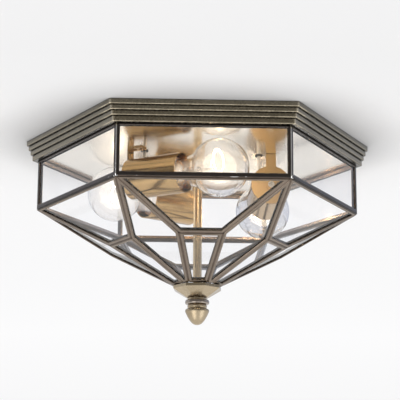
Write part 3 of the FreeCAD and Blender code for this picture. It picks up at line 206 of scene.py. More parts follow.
def aged_metal(name, light, dark, roughness, patina=0.5, grain=(1, 1, 1), rounding=0.0, coat=0.0, grime_and_shade=0.0,
               satin=False, wear_and_highlight=None, shade=None, rim_highlight_and_shade=None, inner_painted_light=None, ends=0.0):
    """Brushed, aged metal with patina clouds, fine scratches and small pits.

    rounding is the radius of its edges, in metres. A length in metres gives the reach of the darkening in its
    grooves and where it meets other parts, patina in part and painted shade in part. Two functions give where
    it is made bright, by wear in part and by painted highlight in part, and where it has painted shade. A colour
    is painted on its rounded edges, a painted highlight where lighter and painted shade where darker, another is
    painted light on faces turned to the middle of the light fitting, and ends is the roughness that faces turned
    to the front have more.
    """
    tree = material_tree(name)
    clouds = tree.noise(45, detail=4, roughness=0.6)
    fine = tree.noise(260, detail=3, roughness=0.6)
    specks = tree.noise(1300, detail=2, roughness=0.6)
    brushed = tree.noise(420, detail=2, roughness=0.7, stretch=grain)
    facing = tree.source("NewGeometry", "Normal")
    mottle = tree.maths("ADD", tree.maths("MULTIPLY", clouds, 0.65), tree.maths("MULTIPLY", fine, 0.35))
    tone = tree.span(mottle, 0.0, 1.0, 0.62 - 0.3 * patina, 0.82)
    colour = tree.mix(tone, rgba(light), rgba(dark))
    # Bright rubbed colour: wear in part, painted highlight in part.
    if wear_and_highlight:
        worn_and_highlit = [min(1.0, 2.2 * part + 0.1) for part in light]
        colour = tree.mix(wear_and_highlight(tree), colour, rgba(worn_and_highlit))
    # Painted shade.
    if shade:
        colour = tree.mix(shade(tree), colour, rgba(dark, 0.2))
    edge = tree.add("Bevel", {"Radius": rounding}, samples=4).outputs["Normal"] if rounding else None
    # Painted light on faces turned to the middle of the light fitting.
    if inner_painted_light:
        outward = tree.vector_maths("DOT_PRODUCT", tree.coordinates(), facing, output="Value")
        colour = tree.mix(tree.span(outward, 1.0, 0.0, -0.06, 0.0), colour, rgba(inner_painted_light))
    # Colour painted on rounded edges: painted highlight where lighter, painted shade where darker.
    if rim_highlight_and_shade:
        level = tree.vector_maths("DOT_PRODUCT", edge, facing, output="Value")
        colour = tree.mix(tree.span(level, 0.9, 0.0, 0.78, 0.985), colour, rgba(rim_highlight_and_shade))
    # Darkening in grooves and where parts meet: patina in part, painted shade in part.
    if grime_and_shade:
        open_sky = tree.add("AmbientOcclusion", {"Distance": grime_and_shade}, samples=6).outputs["AO"]
        colour = tree.mix(tree.span(open_sky, 0.85, 0.0, 0.45, 0.9), colour, rgba(dark, 0.12))
    pits = tree.span(specks, 0.0, 0.12 if satin else 0.5, 0.66, 0.8)
    colour = tree.mix(pits, colour, rgba(dark, 0.5))
    uneven = 0.02 if satin else 0.08
    rough = tree.span(brushed, roughness - uneven, roughness + uneven, 0.3, 0.7)
    if ends:
        rough = tree.maths("ADD", rough, tree.span(tree.part(facing, "Y"), 0.0, ends, -0.9, -0.98))
    normal = tree.bump(brushed, 0.02 if satin else 0.1, 0.0001, edge)
    return tree.finish(tree.shader("BsdfPrincipled", {
        "Base Color": colour, "Metallic": 1.0, "Roughness": rough, "Coat Weight": coat,
        "Coat Roughness": 0.12, "Normal": normal}))


def band_wear_and_highlights(tree):
    """Bright lower edges of the pan's bands, wear in part and painted highlight in part, most at the front, and
    painted highlight lines down its front corners.
    """
    black = (0, 0, 0)
    white = (1, 1, 1)
    stops = [(0.0, black), (0.02, white), (0.06, black)]
    for edge in BAND_EDGES:
        share = edge / WEAR_AND_HIGHLIGHT_DEPTH
        stops += [(share - 0.06, black), (share - 0.012, white), (min(share + 0.008, 1.0), black)]
    x, y, z = (tree.part(tree.coordinates(), axis) for axis in "XYZ")
    lines = tree.ramp(tree.span(z, 0.0, 1.0, 0.0, -WEAR_AND_HIGHLIGHT_DEPTH * MM), stops)
    worn_and_highlit = tree.span(tree.noise(120, detail=2), 0.35, 1.0, 0.35, 0.65)
    # The painted highlight on the band edges is strongest on the front.
    front = tree.span(y, 0.25, 1.0, *PAN_FRONT)
    edges = tree.maths("MULTIPLY", tree.maths("MULTIPLY", lines, worn_and_highlit), front)
    # Painted highlight lines run down the front corners, which lie where |x| cos 30 + y sin 30 = 0.
    aside = tree.maths("MULTIPLY", tree.maths("ABSOLUTE", x), 0.866)
    off = tree.maths("ABSOLUTE", tree.maths("ADD", aside, tree.maths("MULTIPLY", y, 0.5)))
    return tree.maths("MAXIMUM", edges, tree.span(off, 0.9, 0.0, 0.0006, 0.0018))


def painted_shade_under_bands(tree):
    """Painted shade on the undersides of the pan's bands, less so at the front."""
    down = tree.span(tree.part(tree.source("NewGeometry", "Normal"), "Z"), 0.0, 1.0, -0.5, -0.8)
    start, end = PAN_FRONT
    return tree.maths("MULTIPLY", down, tree.span(tree.part(tree.coordinates(), "Y"), 0.35, 0.95, end, start))


def mirror_metal():
    """Polished plate, bowed a little, with faint buffing swirls and a few dull specks."""
    tree = material_tree("mirror_plate_polish")
    haze = tree.noise(40, detail=3)
    swirl = tree.noise(160, detail=2, stretch=(1, 6, 1), distortion=1.5)
    specks = tree.noise(1100, detail=1)
    rough = tree.span(haze, 0.15, 0.21, 0.35, 0.75)
    polish = (0.85, 0.805, 0.72)
    colour = tree.ramp(specks, [(0.0, polish), (0.7, polish), (0.82, (0.6, 0.555, 0.48))])
    slope = tree.vector_maths("MULTIPLY", tree.coordinates(), (PLATE_BOW, PLATE_BOW, 0.0))
    tilted = tree.vector_maths("ADD", tree.source("NewGeometry", "Normal"), slope)
    normal = tree.bump(swirl, 0.03, 0.00005, tree.vector_maths("NORMALIZE", tilted))
    return tree.finish(tree.shader("BsdfPrincipled", {
        "Base Color": colour, "Metallic": 1.0, "Roughness": rough, "Normal": normal}))


def pane_glass():
    """Flat clear pane: straight sight through it, a mirror image by Fresnel, and faint smears."""
    tree = material_tree("pane_clear_glass")
    smear = tree.noise(70, detail=4, roughness=0.6)
    rough = tree.span(smear, 0.0, 0.06, 0.5, 0.85)
    normal = tree.bump(tree.noise(30, detail=1), 0.02, 0.0003)
    through = tree.shader("BsdfTransparent", {"Color": (0.994, 0.994, 0.997, 1)})
    shine = tree.shader("BsdfGlossy", {"Color": (1, 1, 1, 1), "Roughness": rough, "Normal": normal})
    fresnel = tree.add("Fresnel", {"IOR": 1.5, "Normal": normal}).outputs["Fac"]
    outer = tree.inverse(tree.source("NewGeometry", "Backfacing"))
    share = tree.maths("MINIMUM", tree.maths("MULTIPLY", fresnel, outer), 0.95)
    return tree.finish(tree.shader_mix(share, through, shine))


def bulb_glass(name, glow=0.0, fade=4.0, tint=(1.0, 0.86, 0.7)):
    """Clear blown glass, a trace wavy and hazy, which lets the lamp's light through.

    glow is the strength of the veil that a lit bulb's glass shows, and fade how fast it goes towards
    the outline.
    """
    tree = material_tree(name)
    smear = tree.noise(60, detail=4, roughness=0.6)
    rough = tree.span(smear, 0.0, 0.05, 0.55, 0.85)
    normal = tree.bump(tree.noise(36, detail=1), 0.05, 0.0003)
    glass = tree.shader("BsdfPrincipled", {
        "Base Color": (0.99, 0.985, 0.98, 1), "Roughness": rough, "IOR": 1.47,
        "Transmission Weight": 1.0, "Normal": normal})
    haze = tree.shader("BsdfTranslucent", {"Color": (1.0, 0.98, 0.95, 1)})
    cloud = tree.span(tree.noise(28, detail=3, distortion=1.2), 0.0, 0.01, 0.3, 0.7)
    through = tree.shader("BsdfTransparent", {"Color": (0.93, 0.93, 0.93, 1)})
    light = tree.maths("MAXIMUM", tree.source("LightPath", "Is Shadow Ray"),
                       tree.source("LightPath", "Is Diffuse Ray"))
    clear = tree.shader_mix(light, tree.shader_mix(cloud, glass, haze), through)
    if not glow:
        return tree.finish(clear)
    facing = tree.inverse(tree.add("LayerWeight", {"Blend": 0.5}).outputs["Facing"])
    outer = tree.inverse(tree.source("NewGeometry", "Backfacing"))
    veil = tree.maths("MULTIPLY", tree.maths("POWER", facing, fade), tree.maths("MULTIPLY", outer, glow))
    warm = tree.shader("Emission", {"Color": rgba(tint), "Strength": 1.0})
    return tree.finish(tree.shader_mix(veil, clear, warm))


def moulded(name, light, dark, roughness, grain_scale, bump, coat=0.0):
    """Moulded plastic, rubber or black glass with a fine grain and a little mottling."""
    tree = material_tree(name)
    clouds = tree.noise(70, detail=3)
    grain = tree.noise(grain_scale, detail=3)
    colour = tree.mix(tree.span(clouds, 0.0, 1.0, 0.35, 0.7), rgba(light), rgba(dark))
    rough = tree.span(grain, roughness - 0.06, roughness + 0.08, 0.3, 0.7)
    normal = tree.bump(grain, bump, 0.0001)
    return tree.finish(tree.shader("BsdfPrincipled", {
        "Base Color": colour, "Roughness": rough, "Coat Weight": coat, "Coat Roughness": 0.08,
        "Normal": normal}))


def glowing_wire():
    """Hot tungsten, whiter where the coil runs hottest."""
    tree = material_tree("filament_glow")
    flicker = tree.noise(600, detail=1)
    colour = tree.ramp(flicker, [(0.3, (1.0, 0.62, 0.3)), (0.7, (1.0, 0.8, 0.55))])
    return tree.finish(tree.shader("Emission", {"Color": colour, "Strength": 60.0}))


HUB_BRASS = dict(light=(0.42, 0.34, 0.23), dark=(0.31, 0.245, 0.155), rounding=0.0005, coat=0.2)
MATERIALS = {
    "pan": aged_metal("pan_antique_brass", (0.285, 0.245, 0.17), (0.2, 0.168, 0.112), 0.24, 0.5, (1, 1, 14),
                      rounding=0.0008, coat=0.25, grime_and_shade=0.0035, wear_and_highlight=band_wear_and_highlights, shade=painted_shade_under_bands),
    # The other cames get painted shade on their rounded edges.
    "came": aged_metal("came_antique_brass", (0.215, 0.172, 0.136), (0.13, 0.102, 0.077), 0.13,
                       rounding=0.0014, coat=0.1, grime_and_shade=0.0035, rim_highlight_and_shade=(0.045, 0.035, 0.028)),
    # The side frames' cames: a darker copy of the other cames, painted shade on their upright faces, with a painted
    # highlight on their rounded edges and painted light on faces turned to the middle of the light fitting.
    "shaded_side_came": aged_metal("side_came_painted_shade_brass", (0.08, 0.067, 0.06), (0.04, 0.033, 0.03), 0.15,
                            rounding=0.0012, coat=0.1, grime_and_shade=0.0035, rim_highlight_and_shade=(0.28, 0.25, 0.225),
                            inner_painted_light=(0.42, 0.35, 0.31)),
    "hub": aged_metal("hub_antique_brass", roughness=0.22, patina=0.35, **HUB_BRASS),
    "acorn": aged_metal("acorn_antique_brass", roughness=0.33, patina=0.3, **HUB_BRASS),
    "collar": aged_metal("collar_dark_brass", (0.36, 0.31, 0.27), (0.26, 0.22, 0.18), 0.2, 0.4,
                         rounding=0.0003),
    "sleeve": aged_metal("sleeve_brass", (0.45, 0.3, 0.14), (0.37, 0.24, 0.105), 0.19, 0.2, satin=True,
                         ends=0.25),
    "tube": aged_metal("tube_brass", (0.74, 0.58, 0.36), (0.64, 0.48, 0.28), 0.16, 0.3, (8, 8, 1)),
    "steel": aged_metal("zinc_steel", (0.7, 0.68, 0.62), (0.5, 0.48, 0.42), 0.32),
    "bright": aged_metal("bright_brass", (0.8, 0.62, 0.3), (0.6, 0.45, 0.2), 0.22, 0.3),
    "solder": aged_metal("dark_solder", (0.16, 0.12, 0.095), (0.06, 0.045, 0.035), 0.36),
    # Near-black bead colour: painted shade in the ring's seams.
    "shaded_seam": aged_metal("ring_seam_painted_shade", (0.045, 0.038, 0.034), (0.02, 0.017, 0.015), 0.38),
    # Bright tin: solder in part, painted highlights in part.
    "tin_and_highlight": aged_metal("tin_speck_and_highlight", (0.88, 0.87, 0.85), (0.66, 0.64, 0.6), 0.2, 0.3),
    "mirror": mirror_metal(),
    "pane": pane_glass(),
    "bulb_front": bulb_glass("bulb_front_glass", 0.62),
    "bulb": bulb_glass("bulb_clear_glass", 0.12),
    "bulb_left": bulb_glass("bulb_left_glass", 0.7, 1.3, (0.95, 0.91, 0.87)),
    "stem": bulb_glass("stem_clear_glass"),
    "socket": moulded("socket_brown_phenolic", (0.3, 0.19, 0.13), (0.2, 0.12, 0.08), 0.3, 500, 0.2),
    "white_plastic": moulded("block_white_plastic", (0.86, 0.85, 0.8), (0.78, 0.76, 0.7), 0.42, 700, 0.25),
    "sheath": moulded("lead_sheath", (0.82, 0.8, 0.76), (0.72, 0.7, 0.65), 0.45, 600, 0.3),
    "rubber": moulded("black_rubber", (0.05, 0.05, 0.05), (0.025, 0.025, 0.025), 0.6, 800, 0.4),
    "vitrite": moulded("cap_black_glass", (0.05, 0.04, 0.06), (0.02, 0.018, 0.025), 0.16, 300, 0.1, 0.4),
    "glow": glowing_wire(),
}


def dress(material, *names):
    """Give CAD nodes a material."""
    for name in names:
        thing = nodes[name]
        if not thing.material_slots:
            thing.data.materials.append(MATERIALS[material])
        for place in thing.material_slots:
            place.material = MATERIALS[material]


def numbered(stem, count):
    return [f"{stem}_{index}" for index in range(1, count + 1)]


dress("pan", "ceiling_pan")
dress("mirror", "reflector_plate")
dress("steel", "ceiling_strap", "threaded_rod", "rod_nuts", "rod_washers", "holder_screws", "terminal_screws")
dress("tube", "centre_tube")
dress("white_plastic", "terminal_block")
dress("bright", "earth_post", "socket_contacts", *numbered("bulb_contact", 3), *numbered("bulb_cap", 3))
dress("sheath", "lamp_leads")
dress("rubber", "plate_grommets")
dress("sleeve", *numbered("holder_bracket", 3), *numbered("lamp_sleeve", 3), "bracket_rivets")
dress("socket", *numbered("lamp_socket", 3))
dress("bulb_front", "bulb_glass_1")
dress("bulb_left", "bulb_glass_2")
dress("bulb", "bulb_glass_3")
dress("shaded_side_came", *numbered("side_frame", 6))
dress("came", *numbered("shoulder_frame", 6), "kite_frames", "throat_frames")
dress("pane", "side_glass", "shoulder_glass", "kite_glass", "throat_glass")
dress("hub", "hub_cap", "finial_acorn")
dress("collar", "finial_washer")


# ---------------------------------------------------------------- mesh helpers

def link(name, data):
    """A new object in the scene."""
    thing = bpy.data.objects.new(name, data)
    bpy.context.scene.collection.objects.link(thing)
    return thing


def to_mesh(bm, name):
    mesh = bpy.data.meshes.new(name)
    bm.to_mesh(mesh)
    bm.free()
    return mesh


def new_piece(name, bm, material, body):
    """A smooth piece with its normals outward, which rides on a body."""
    bmesh.ops.recalc_face_normals(bm, faces=bm.faces)
    mesh = to_mesh(bm, name)
    mesh.materials.append(MATERIALS[material])
    for face in mesh.polygons:
        face.use_smooth = True
    thing = link(name, mesh)
    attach(thing, body)
    return thing


def join_rings(bm, first, second):
    """Faces between two closed rings of as many points, either of which may be a single point."""
    count = max(len(first), len(second))
    for step in range(count):
        after = (step + 1) % count
        if len(first) == 1:
            bm.faces.new((first[0], second[after], second[step]))
        elif len(second) == 1:
            bm.faces.new((first[step], first[after], second[0]))
        else:
            bm.faces.new((first[step], first[after], second[after], second[step]))


def ring_round_x(bm, matrix, along, radii):
    """Ring of vertices round local X, with a radius for each of them."""
    ring = []
    for step, radius in enumerate(radii):
        angle = 2 * math.pi * step / len(radii)
        local = Vector((along, radius * math.cos(angle), radius * math.sin(angle)))
        ring.append(bm.verts.new(matrix @ (local * MM)))
    return ring


def turned(bm, profile, matrix, around):
    """Turn a profile of (along X, radius) pairs round local X. A radius of 0 closes an end."""
    rings = [ring_round_x(bm, matrix, along, [radius] * (around if radius else 1))
             for along, radius in profile]
    for first, second in zip(rings, rings[1:]):
        join_rings(bm, first, second)


def sweep_rings(bm, path, radius, around=8):
    """Sweep a round section along a list of points, with parallel frames. radius may be a list too."""
    rings = []
    side = None
    for index, point in enumerate(path):
        before = path[max(index - 1, 0)]
        after = path[min(index + 1, len(path) - 1)]
        along = (after - before).normalized()
        side = along.orthogonal() if side is None else side - along * side.dot(along)
        side = side.normalized()
        up = along.cross(side)
        size = radius[index] if isinstance(radius, list) else radius
        ring = []
        for step in range(around):
            angle = 2 * math.pi * step / around
            ring.append(bm.verts.new(point + (side * math.cos(angle) + up * math.sin(angle)) * size))
        rings.append(ring)
    for first, second in zip(rings, rings[1:]):
        join_rings(bm, first, second)
    bm.faces.new(list(reversed(rings[0])))
    bm.faces.new(rings[-1])


# ---------------------------------------------------------------- stage, camera and light

# In metres: the ceiling's height above the pan's rim, the hole in it, whose edge the pan hides, and its reach.
CEILING_Z = 0.0004
CEILING_HOLE = 0.183
CEILING_REACH = 9
# Lens and place fitted to the corners of the pan, panes and hub in the photograph, in mm and degrees.
LENS = 129.38
LENS_SHIFT = (0.0060, 0.0231)
CAMERA_PLACE = (-58.6, -1499.0, -428.2)
CAMERA_BACK = (-0.0380, -0.9722, -0.2311)
CAMERA_ROLL = 0.29
# Point that the soft lights face, and middle of the glow out along a lamp's axis, in metres.
LIGHT_TARGET = (0, 0, -0.1)
GLOW_AT = 0.1025


def ceiling_paint():
    """Near white paint, with a painted shadow round the pan and painted shade darker towards the front, whose upper
    side lets the views from above through.

    Metal and glass see a painted reflection of a studio's surround in it: pale at the left, greyer at the right
    and dark towards the front.
    """
    tree = material_tree("ceiling_paint")
    normal = tree.bump(tree.noise(700, detail=3), 0.04, 0.0002)
    x, y = (tree.part(tree.coordinates(), axis) for axis in "XY")
    # Painted reflection for glossy rays: pale at the left, greyer at the right, dark towards the front.
    front = tree.span(y, 0.0, 1.0, -0.12, -0.2)
    right = tree.span(x, 0.0, 1.0, -0.7, 0.7)
    painted_reflection_sides = tree.mix(right, (0.7, 0.72, 0.76, 1), (0.4, 0.44, 0.54, 1))
    around = tree.mix(front, painted_reflection_sides, (0.25, 0.245, 0.24, 1))
    # Painted shade, darker towards the front, and a painted shadow round the pan.
    depth = tree.span(y, 0.0, 1.0, -0.3, 1.4)
    level = tree.ramp(depth, [(0.0, (0.72, 0.72, 0.725)), (0.3, (0.8, 0.8, 0.805)), (1.0, (0.89, 0.89, 0.895))])
    painted_shadow = tree.add("AmbientOcclusion", {"Color": level, "Distance": 0.09}, samples=12).outputs["Color"]
    colour = tree.mix(tree.source("LightPath", "Is Glossy Ray"), painted_shadow, around)
    paint = tree.shader("BsdfDiffuse", {"Color": colour, "Normal": normal})
    return tree.finish(tree.shader_mix(tree.source("NewGeometry", "Backfacing"), paint,
                                       tree.shader("BsdfTransparent")))


def pale_ceiling():
    """Ceiling with a hole over the pan, painted on its lower side."""
    bm = bmesh.new()
    rings = []
    for radius in (CEILING_HOLE, CEILING_REACH):
        angles = [math.radians(60 * step) for step in range(SIDES)]
        rings.append([bm.verts.new((radius * math.cos(angle), radius * math.sin(angle), CEILING_Z))
                      for angle in angles])
    join_rings(bm, *rings)
    mesh = to_mesh(bm, "ceiling_sheet")
    mesh.materials.append(ceiling_paint())
    if mesh.polygons[0].normal.z > 0:
        mesh.flip_normals()
    ceiling = link("ceiling_sheet", mesh)


def studio_world():
    """Bright floor and back, dark towards the front, and a plain pale field for the camera."""
    world = bpy.data.worlds.new("studio")
    bpy.context.scene.world = world
    tree = Tree(world, "OutputWorld")

    def eased(axis, *limits):
        direction = tree.part(tree.source("TexCoord", "Generated"), axis)
        return tree.span(direction, *limits, interpolation_type="SMOOTHSTEP")

    horizon = eased("Y", 0.1, 0.85, -0.75, 0.25)
    floor = eased("Z", 1.0, 0.0, -0.6, -0.12)
    upper = eased("Z", 0.0, 1.0, 0.02, 0.2)
    level = tree.blend(upper, 0.9, tree.blend(floor, 1.12, horizon))
    seen = tree.maths("MAXIMUM", tree.source("LightPath", "Is Camera Ray"),
                      tree.source("LightPath", "Is Transmission Ray"))
    tree.finish(tree.shader("Background", {"Color": (1.0, 1.0, 1.0, 1), "Strength": tree.blend(seen, 0.95, level)}))


def soft_light(name, place, size, power, colour):
    """Round area light that faces the object."""
    light = bpy.data.lights.new(name, "AREA")
    light.shape = "DISK"
    light.size = size
    light.energy = power
    light.color = colour
    thing = link(name, light)
    thing.location = place
    thing.rotation_euler = (Vector(LIGHT_TARGET) - Vector(place)).to_track_quat("-Z", "Y").to_euler()


def lamp_light(number):
    """Warm glow of a lit bulb on the metal round it, which goes with the bulb."""
    light = bpy.data.lights.new(f"lamp_light_{number}", "POINT")
    light.energy = 1.15
    light.shadow_soft_size = 0.02
    light.color = (1.0, 0.84, 0.64)
    thing = link(f"lamp_light_{number}", light)
    thing.visible_camera = False
    thing.visible_diffuse = False
    thing.visible_transmission = False
    thing.matrix_world = lamp_matrix(number) @ Matrix.Translation((GLOW_AT, 0, 0))
    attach(thing, f"bulb_{number}")


def camera():
    """The photograph's camera."""
    data = bpy.data.cameras.new("camera")
    data.sensor_width = 36.0
    data.lens = LENS
    data.shift_x, data.shift_y = LENS_SHIFT
    data.clip_start = 0.05
    data.clip_end = 40
    back = Vector(CAMERA_BACK).normalized()
    right = Vector((0, 0, 1)).cross(back).normalized()
    up = back.cross(right)
    roll = math.radians(CAMERA_ROLL)
    across = right * math.cos(roll) + up * math.sin(roll)
    upward = up * math.cos(roll) - right * math.sin(roll)
    turn = Matrix((across, upward, back)).transposed().to_4x4()
    thing = link("camera", data)
    thing.matrix_world = Matrix.Translation(Vector(CAMERA_PLACE) * MM) @ turn
    bpy.context.scene.camera = thing


pale_ceiling()
studio_world()
camera()
soft_light("key", place=(-1.1, -1.3, -1.5), size=1.3, power=9, colour=(1.0, 0.98, 0.95))
soft_light("fill", place=(1.4, -0.9, -1.2), size=1.2, power=5, colour=(0.97, 0.98, 1.0))
for number in LAMPS:
    lamp_light(number)


# ---------------------------------------------------------------- bulbs

# Out along a lamp's axis, in millimetres.
CONTACT_END = 30.5
CAP_START = 33
CAP_END = 56
STEM_START = 58.6
STEM_END = 82.0
FILAMENT_AT = 102.0

INSULATOR_RADIUS = 10.5
CAP_RADIUS = 13.2
THREAD_PITCH = 3.629
THREAD_DEPTH = 0.9
# The filament is a coil bent into a ring, with a gap of twice the opening between its leads.
COIL_TURNS = 42
COIL_RADIUS = 0.6
COIL_WIRE_RADIUS = 0.24
COIL_OPENING = math.radians(35)


def bulb_mount(number):
    """Glass stem, lead wires, supports and ring-shaped coiled filament of a bulb."""
    matrix = lamp_matrix(number)
    body = f"bulb_{number}"
    ring = LAMPS[number]["ring"]
    lift = LAMPS[number]["lift"]
    ends = (math.pi - COIL_OPENING, math.pi + COIL_OPENING)

    def at(x, y, z=0.0):
        return matrix @ (Vector((x, y, z)) * MM)

    def around(x, radius, angle):
        """A point on a circle round the axis, which stands higher the wider it is, as the filament does."""
        return at(x, radius * math.sin(angle), lift * radius / ring + radius * math.cos(angle))

    bm = bmesh.new()
    flare = [(STEM_START, 0), (STEM_START, 9.5), (STEM_START + 1.2, 8.2), (STEM_START + 4, 5.6),
             (STEM_START + 8, 4.3), (STEM_END - 6, 3.6), (STEM_END - 2.5, 3.9), (STEM_END - 0.8, 2.8),
             (STEM_END, 0)]
    turned(bm, flare, matrix, 32)
    sweep_rings(bm, [at(STEM_END + out, 0) for out in (-1, 4, 9)], 0.9 * MM, 12)
    stem = new_piece(f"stem_glass_{number}", bm, "stem", body)
    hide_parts(f"bulb_filament_{number}")

    bm = bmesh.new()
    for side, angle in zip((1, -1), ends):
        lead = [at(STEM_START + 1, side * 1.6), at(STEM_END - 1, side * 2.2), at(STEM_END + 4, side * 2.8),
                around(STEM_END + 12, 5.5, angle), around(FILAMENT_AT - 1, ring - 0.6, angle),
                around(FILAMENT_AT + 0.6, ring, angle)]
        sweep_rings(bm, lead, 0.35 * MM)
    for angle in (math.radians(-80), 0.0, math.radians(80)):
        support = [at(STEM_END + 8.5, 0), around(STEM_END + 12, 3.2, angle),
                   around(FILAMENT_AT - 0.9, ring, angle)]
        sweep_rings(bm, support, 0.16 * MM, 6)
    new_piece(f"lead_wires_{number}", bm, "steel", body)

    bm = bmesh.new()
    coil = []
    count = 10 * COIL_TURNS
    for step in range(count + 1):
        share = step / count
        angle = ends[1] + (2 * math.pi - 2 * COIL_OPENING) * share
        curl = 2 * math.pi * COIL_TURNS * share
        coil.append(around(FILAMENT_AT + COIL_RADIUS * math.sin(curl), ring + COIL_RADIUS * math.cos(curl), angle))
    sweep_rings(bm, coil, COIL_WIRE_RADIUS * MM, 6)
    new_piece(f"filament_coil_{number}", bm, "glow", body)


def bulb_shell(number):
    """Screw shell of a bulb with its rolled thread, and the black glass round its contact."""
    matrix = lamp_matrix(number)
    body = f"bulb_{number}"
    around = 48
    rows = 120
    start = CAP_START + 0.5
    bm = bmesh.new()
    rings = []
    for row in range(rows + 1):
        along = start + (CAP_END - start) * row / rows
        fade = min(1.0, max(0.0, (along - start - 1) / 2), max(0.0, (CAP_END - 3 - along) / 2))
        phase = 2 * math.pi * along / THREAD_PITCH
        waves = [math.cos(phase - 2 * math.pi * step / around) for step in range(around)]
        radii = [CAP_RADIUS - 0.05 - THREAD_DEPTH / 2 * fade * (1 - wave) for wave in waves]
        rings.append(ring_round_x(bm, matrix, along, radii))
    for first, second in zip(rings, rings[1:]):
        join_rings(bm, first, second)
    shell = new_piece(f"bulb_shell_{number}", bm, "bright", body)
    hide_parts(f"bulb_cap_{number}")

    bm = bmesh.new()
    cone = [(CONTACT_END, 0), (CONTACT_END, 4.4), (CONTACT_END + 0.6, 5.4),
            (CAP_START - 0.6, INSULATOR_RADIUS - 0.6), (CAP_START, INSULATOR_RADIUS),
            (start, CAP_RADIUS - 0.06), (CAP_START + 1.0, 12.0), (CAP_START + 1.2, 0)]
    turned(bm, cone, matrix, 40)
    new_piece(f"bulb_insulator_{number}", bm, "vitrite", body)


for number in LAMPS:
    bulb_mount(number)
    bulb_shell(number)


# ---------------------------------------------------------------- finial

ACORN_LENGTH = 17.5
BEAD_HEIGHT = 4.1
BEAD_RADIUS = 10.4
BEAD_INSET = 1.025
BORE_RADIUS = 3.05
BORE_END_GAP = 1.0
# Height above the tip and radius, up the acorn's side.
ACORN_SIDE = [(0.0, 0.0), (0.12, 1.6), (0.6, 3.3), (1.5, 4.8), (2.8, 6.15), (4.5, 7.55), (6.5, 8.9), (9.0, 10.3),
              (11.3, 11.4), (13.0, 12.2), (14.2, 12.65), (15.0, 12.74), (15.8, 12.5), (16.6, 11.8), (17.1, 10.8)]
# Share of the bead's height and of its inset, up the bead's side.
BEAD_SIDE = [(0.0, 1.0), (0.12, 0.6), (0.3, 0.15), (0.5, 0.0), (0.7, 0.15), (0.88, 0.6), (1.0, 1.0)]


def acorn():
    """Acorn nut with its bead: full sides that round off into a blunt tip, bored for the rod."""
    tip = -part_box("finial_acorn")[0][2] / MM
    top = tip - ACORN_LENGTH
    start = top - BEAD_HEIGHT
    bore_end = -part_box("threaded_rod")[0][2] / MM + BORE_END_GAP
    profile = [(tip - up, out) for up, out in ACORN_SIDE]
    profile += [(top - up * BEAD_HEIGHT, BEAD_RADIUS - inset * BEAD_INSET) for up, inset in BEAD_SIDE]
    profile += [(start, BORE_RADIUS), (bore_end, BORE_RADIUS), (bore_end, 0.0)]
    bm = bmesh.new()
    turned(bm, profile, Matrix.Rotation(math.radians(90), 4, "Y"), 72)
    piece = new_piece("acorn_nut", bm, "acorn", "finial")
    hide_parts("finial_acorn")


acorn()


# ---------------------------------------------------------------- seams of the lantern

# Ends of the seams, in millimetres: the lantern's corners at its top and at the ring of rails, the bars
# between the shoulder and throat panes, and the hub.
CORNER = 172.2
APOTHEM = CORNER * math.cos(math.radians(30))
TOP_Z = -19.6
RING_Z = -75.4
BAR_Z = -119.0
BAR_APOTHEM = 94.0
BAR_HALF = 22.3
HUB_Z = -156.11
HUB_APOTHEM = 23.0
HUB_HALF = 9.7
# How far the solder lies in from its seam, and its rise for each millimetre inward, if the seam isn't upright.
SEAM_DEPTH = 1.1
SEAM_LIFT = 1.2

# Drops of solder, in part painted highlights, in millimetres: on the front, as x, z, half length and half height,
# and by its left corner.
FRONT_DROPS_AND_HIGHLIGHTS = ((-85.6, -67.4, 0.45, 1.3), (-84.2, -74.6, 0.7, 0.6), (-65.2, -74.2, 0.6, 0.4),
               (29.9, -74.3, 4.6, 0.45), (41.1, -74.0, 0.6, 0.5))
LEFT_DROPS = ((-87.3, -147.3, -74.6), (-92.1, -138.9, -73.8))


def seam_lines():
    """Upright seams, the ring's seams but the front one, and sloping seams together with that one."""
    upright = []
    ring = []
    sloping = []
    for index in range(SIDES):
        face = 60 * index
        top_left, ring_left, ring_right = (turned_point(APOTHEM, side * CORNER / 2, face, z)
                                           for side, z in ((-1, TOP_Z), (-1, RING_Z), (1, RING_Z)))
        bar_left, bar_right = (turned_point(BAR_APOTHEM, side * BAR_HALF, face, BAR_Z) for side in (-1, 1))
        hub_left, hub_right = (turned_point(HUB_APOTHEM, side * HUB_HALF, face, HUB_Z) for side in (-1, 1))
        upright.append((top_left, ring_left))
        (ring if index else sloping).append((ring_left, ring_right))
        sloping += [(ring_left, bar_left), (ring_right, bar_right), (bar_left, bar_right),
                    (bar_left, hub_left), (bar_right, hub_right)]
    return upright, ring, sloping


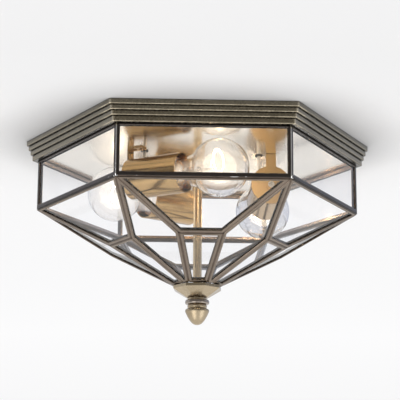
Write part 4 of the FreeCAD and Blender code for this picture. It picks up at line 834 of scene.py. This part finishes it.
def seam_solder(name, lines, material, bead, lift=SEAM_LIFT):
    """Solder in the seams between the frames, a little uneven along its length."""
    random.seed(7)
    bm = bmesh.new()
    for start, end in lines:
        inward = -(start + end) / 2
        inward.z = 0
        inward = (inward.normalized() + Vector((0, 0, lift))).normalized()
        count = max(4, int((end - start).length / 4))
        path = []
        sizes = []
        for step in range(count + 1):
            share = 0.012 + 0.976 * step / count
            path.append((start.lerp(end, share) + inward * SEAM_DEPTH) * MM)
            sizes.append((bead + 0.12 * random.random()) * MM)
        sweep_rings(bm, path, sizes)
    new_piece(name, bm, material, "cage")


def droplet(bm, place, size):
    """An uneven drop of solder, half sunk in what it lies on."""
    made = bmesh.ops.create_icosphere(bm, subdivisions=2, radius=1.0)
    for vert in made["verts"]:
        swell = 1 + 0.18 * (random.random() - 0.5)
        vert.co = Vector([part * extent * swell for part, extent in zip(vert.co, size)]) * MM + place * MM


def solder_drops_and_highlights():
    """Drops of bright solder by the corners and on the front rail, those on the front rail in part painted
    highlights.
    """
    random.seed(11)
    bm = bmesh.new()
    surface = APOTHEM + 0.02
    for x, z, long, high in FRONT_DROPS_AND_HIGHLIGHTS:
        droplet(bm, Vector((x, -surface, z)), (long, 0.35, high))
    for place in LEFT_DROPS:
        droplet(bm, Vector(place), (0.55, 0.55, 0.5))
    for index in range(1, SIDES):
        for side in (-1, 1):
            for step in range(2):
                aside = side * (83.6 + 1.6 * random.random())
                height = RING_Z + 0.8 + 9 * step * random.random()
                droplet(bm, turned_point(surface, aside, 60 * index, height),
                        (0.5, 0.5, 0.4 + 0.5 * random.random()))
    new_piece("solder_drops_and_highlights", bm, "tin_and_highlight", "cage")


upright_seams, ring_seams, sloping_seams = seam_lines()
seam_solder("seam_solder", sloping_seams, "solder", 0.62)
# A near-black bead in the ring's seams, painted shade of the groove between the rails.
seam_solder("ring_seam_shade_bead", ring_seams, "shaded_seam", 1.15)
# A bright tin bead up the corners, solder in part and painted highlight in part.
seam_solder("corner_solder_and_highlight", upright_seams, "tin_and_highlight", 0.66, lift=0.0)
solder_drops_and_highlights()

bpy.context.scene.view_settings.view_transform = "Standard"
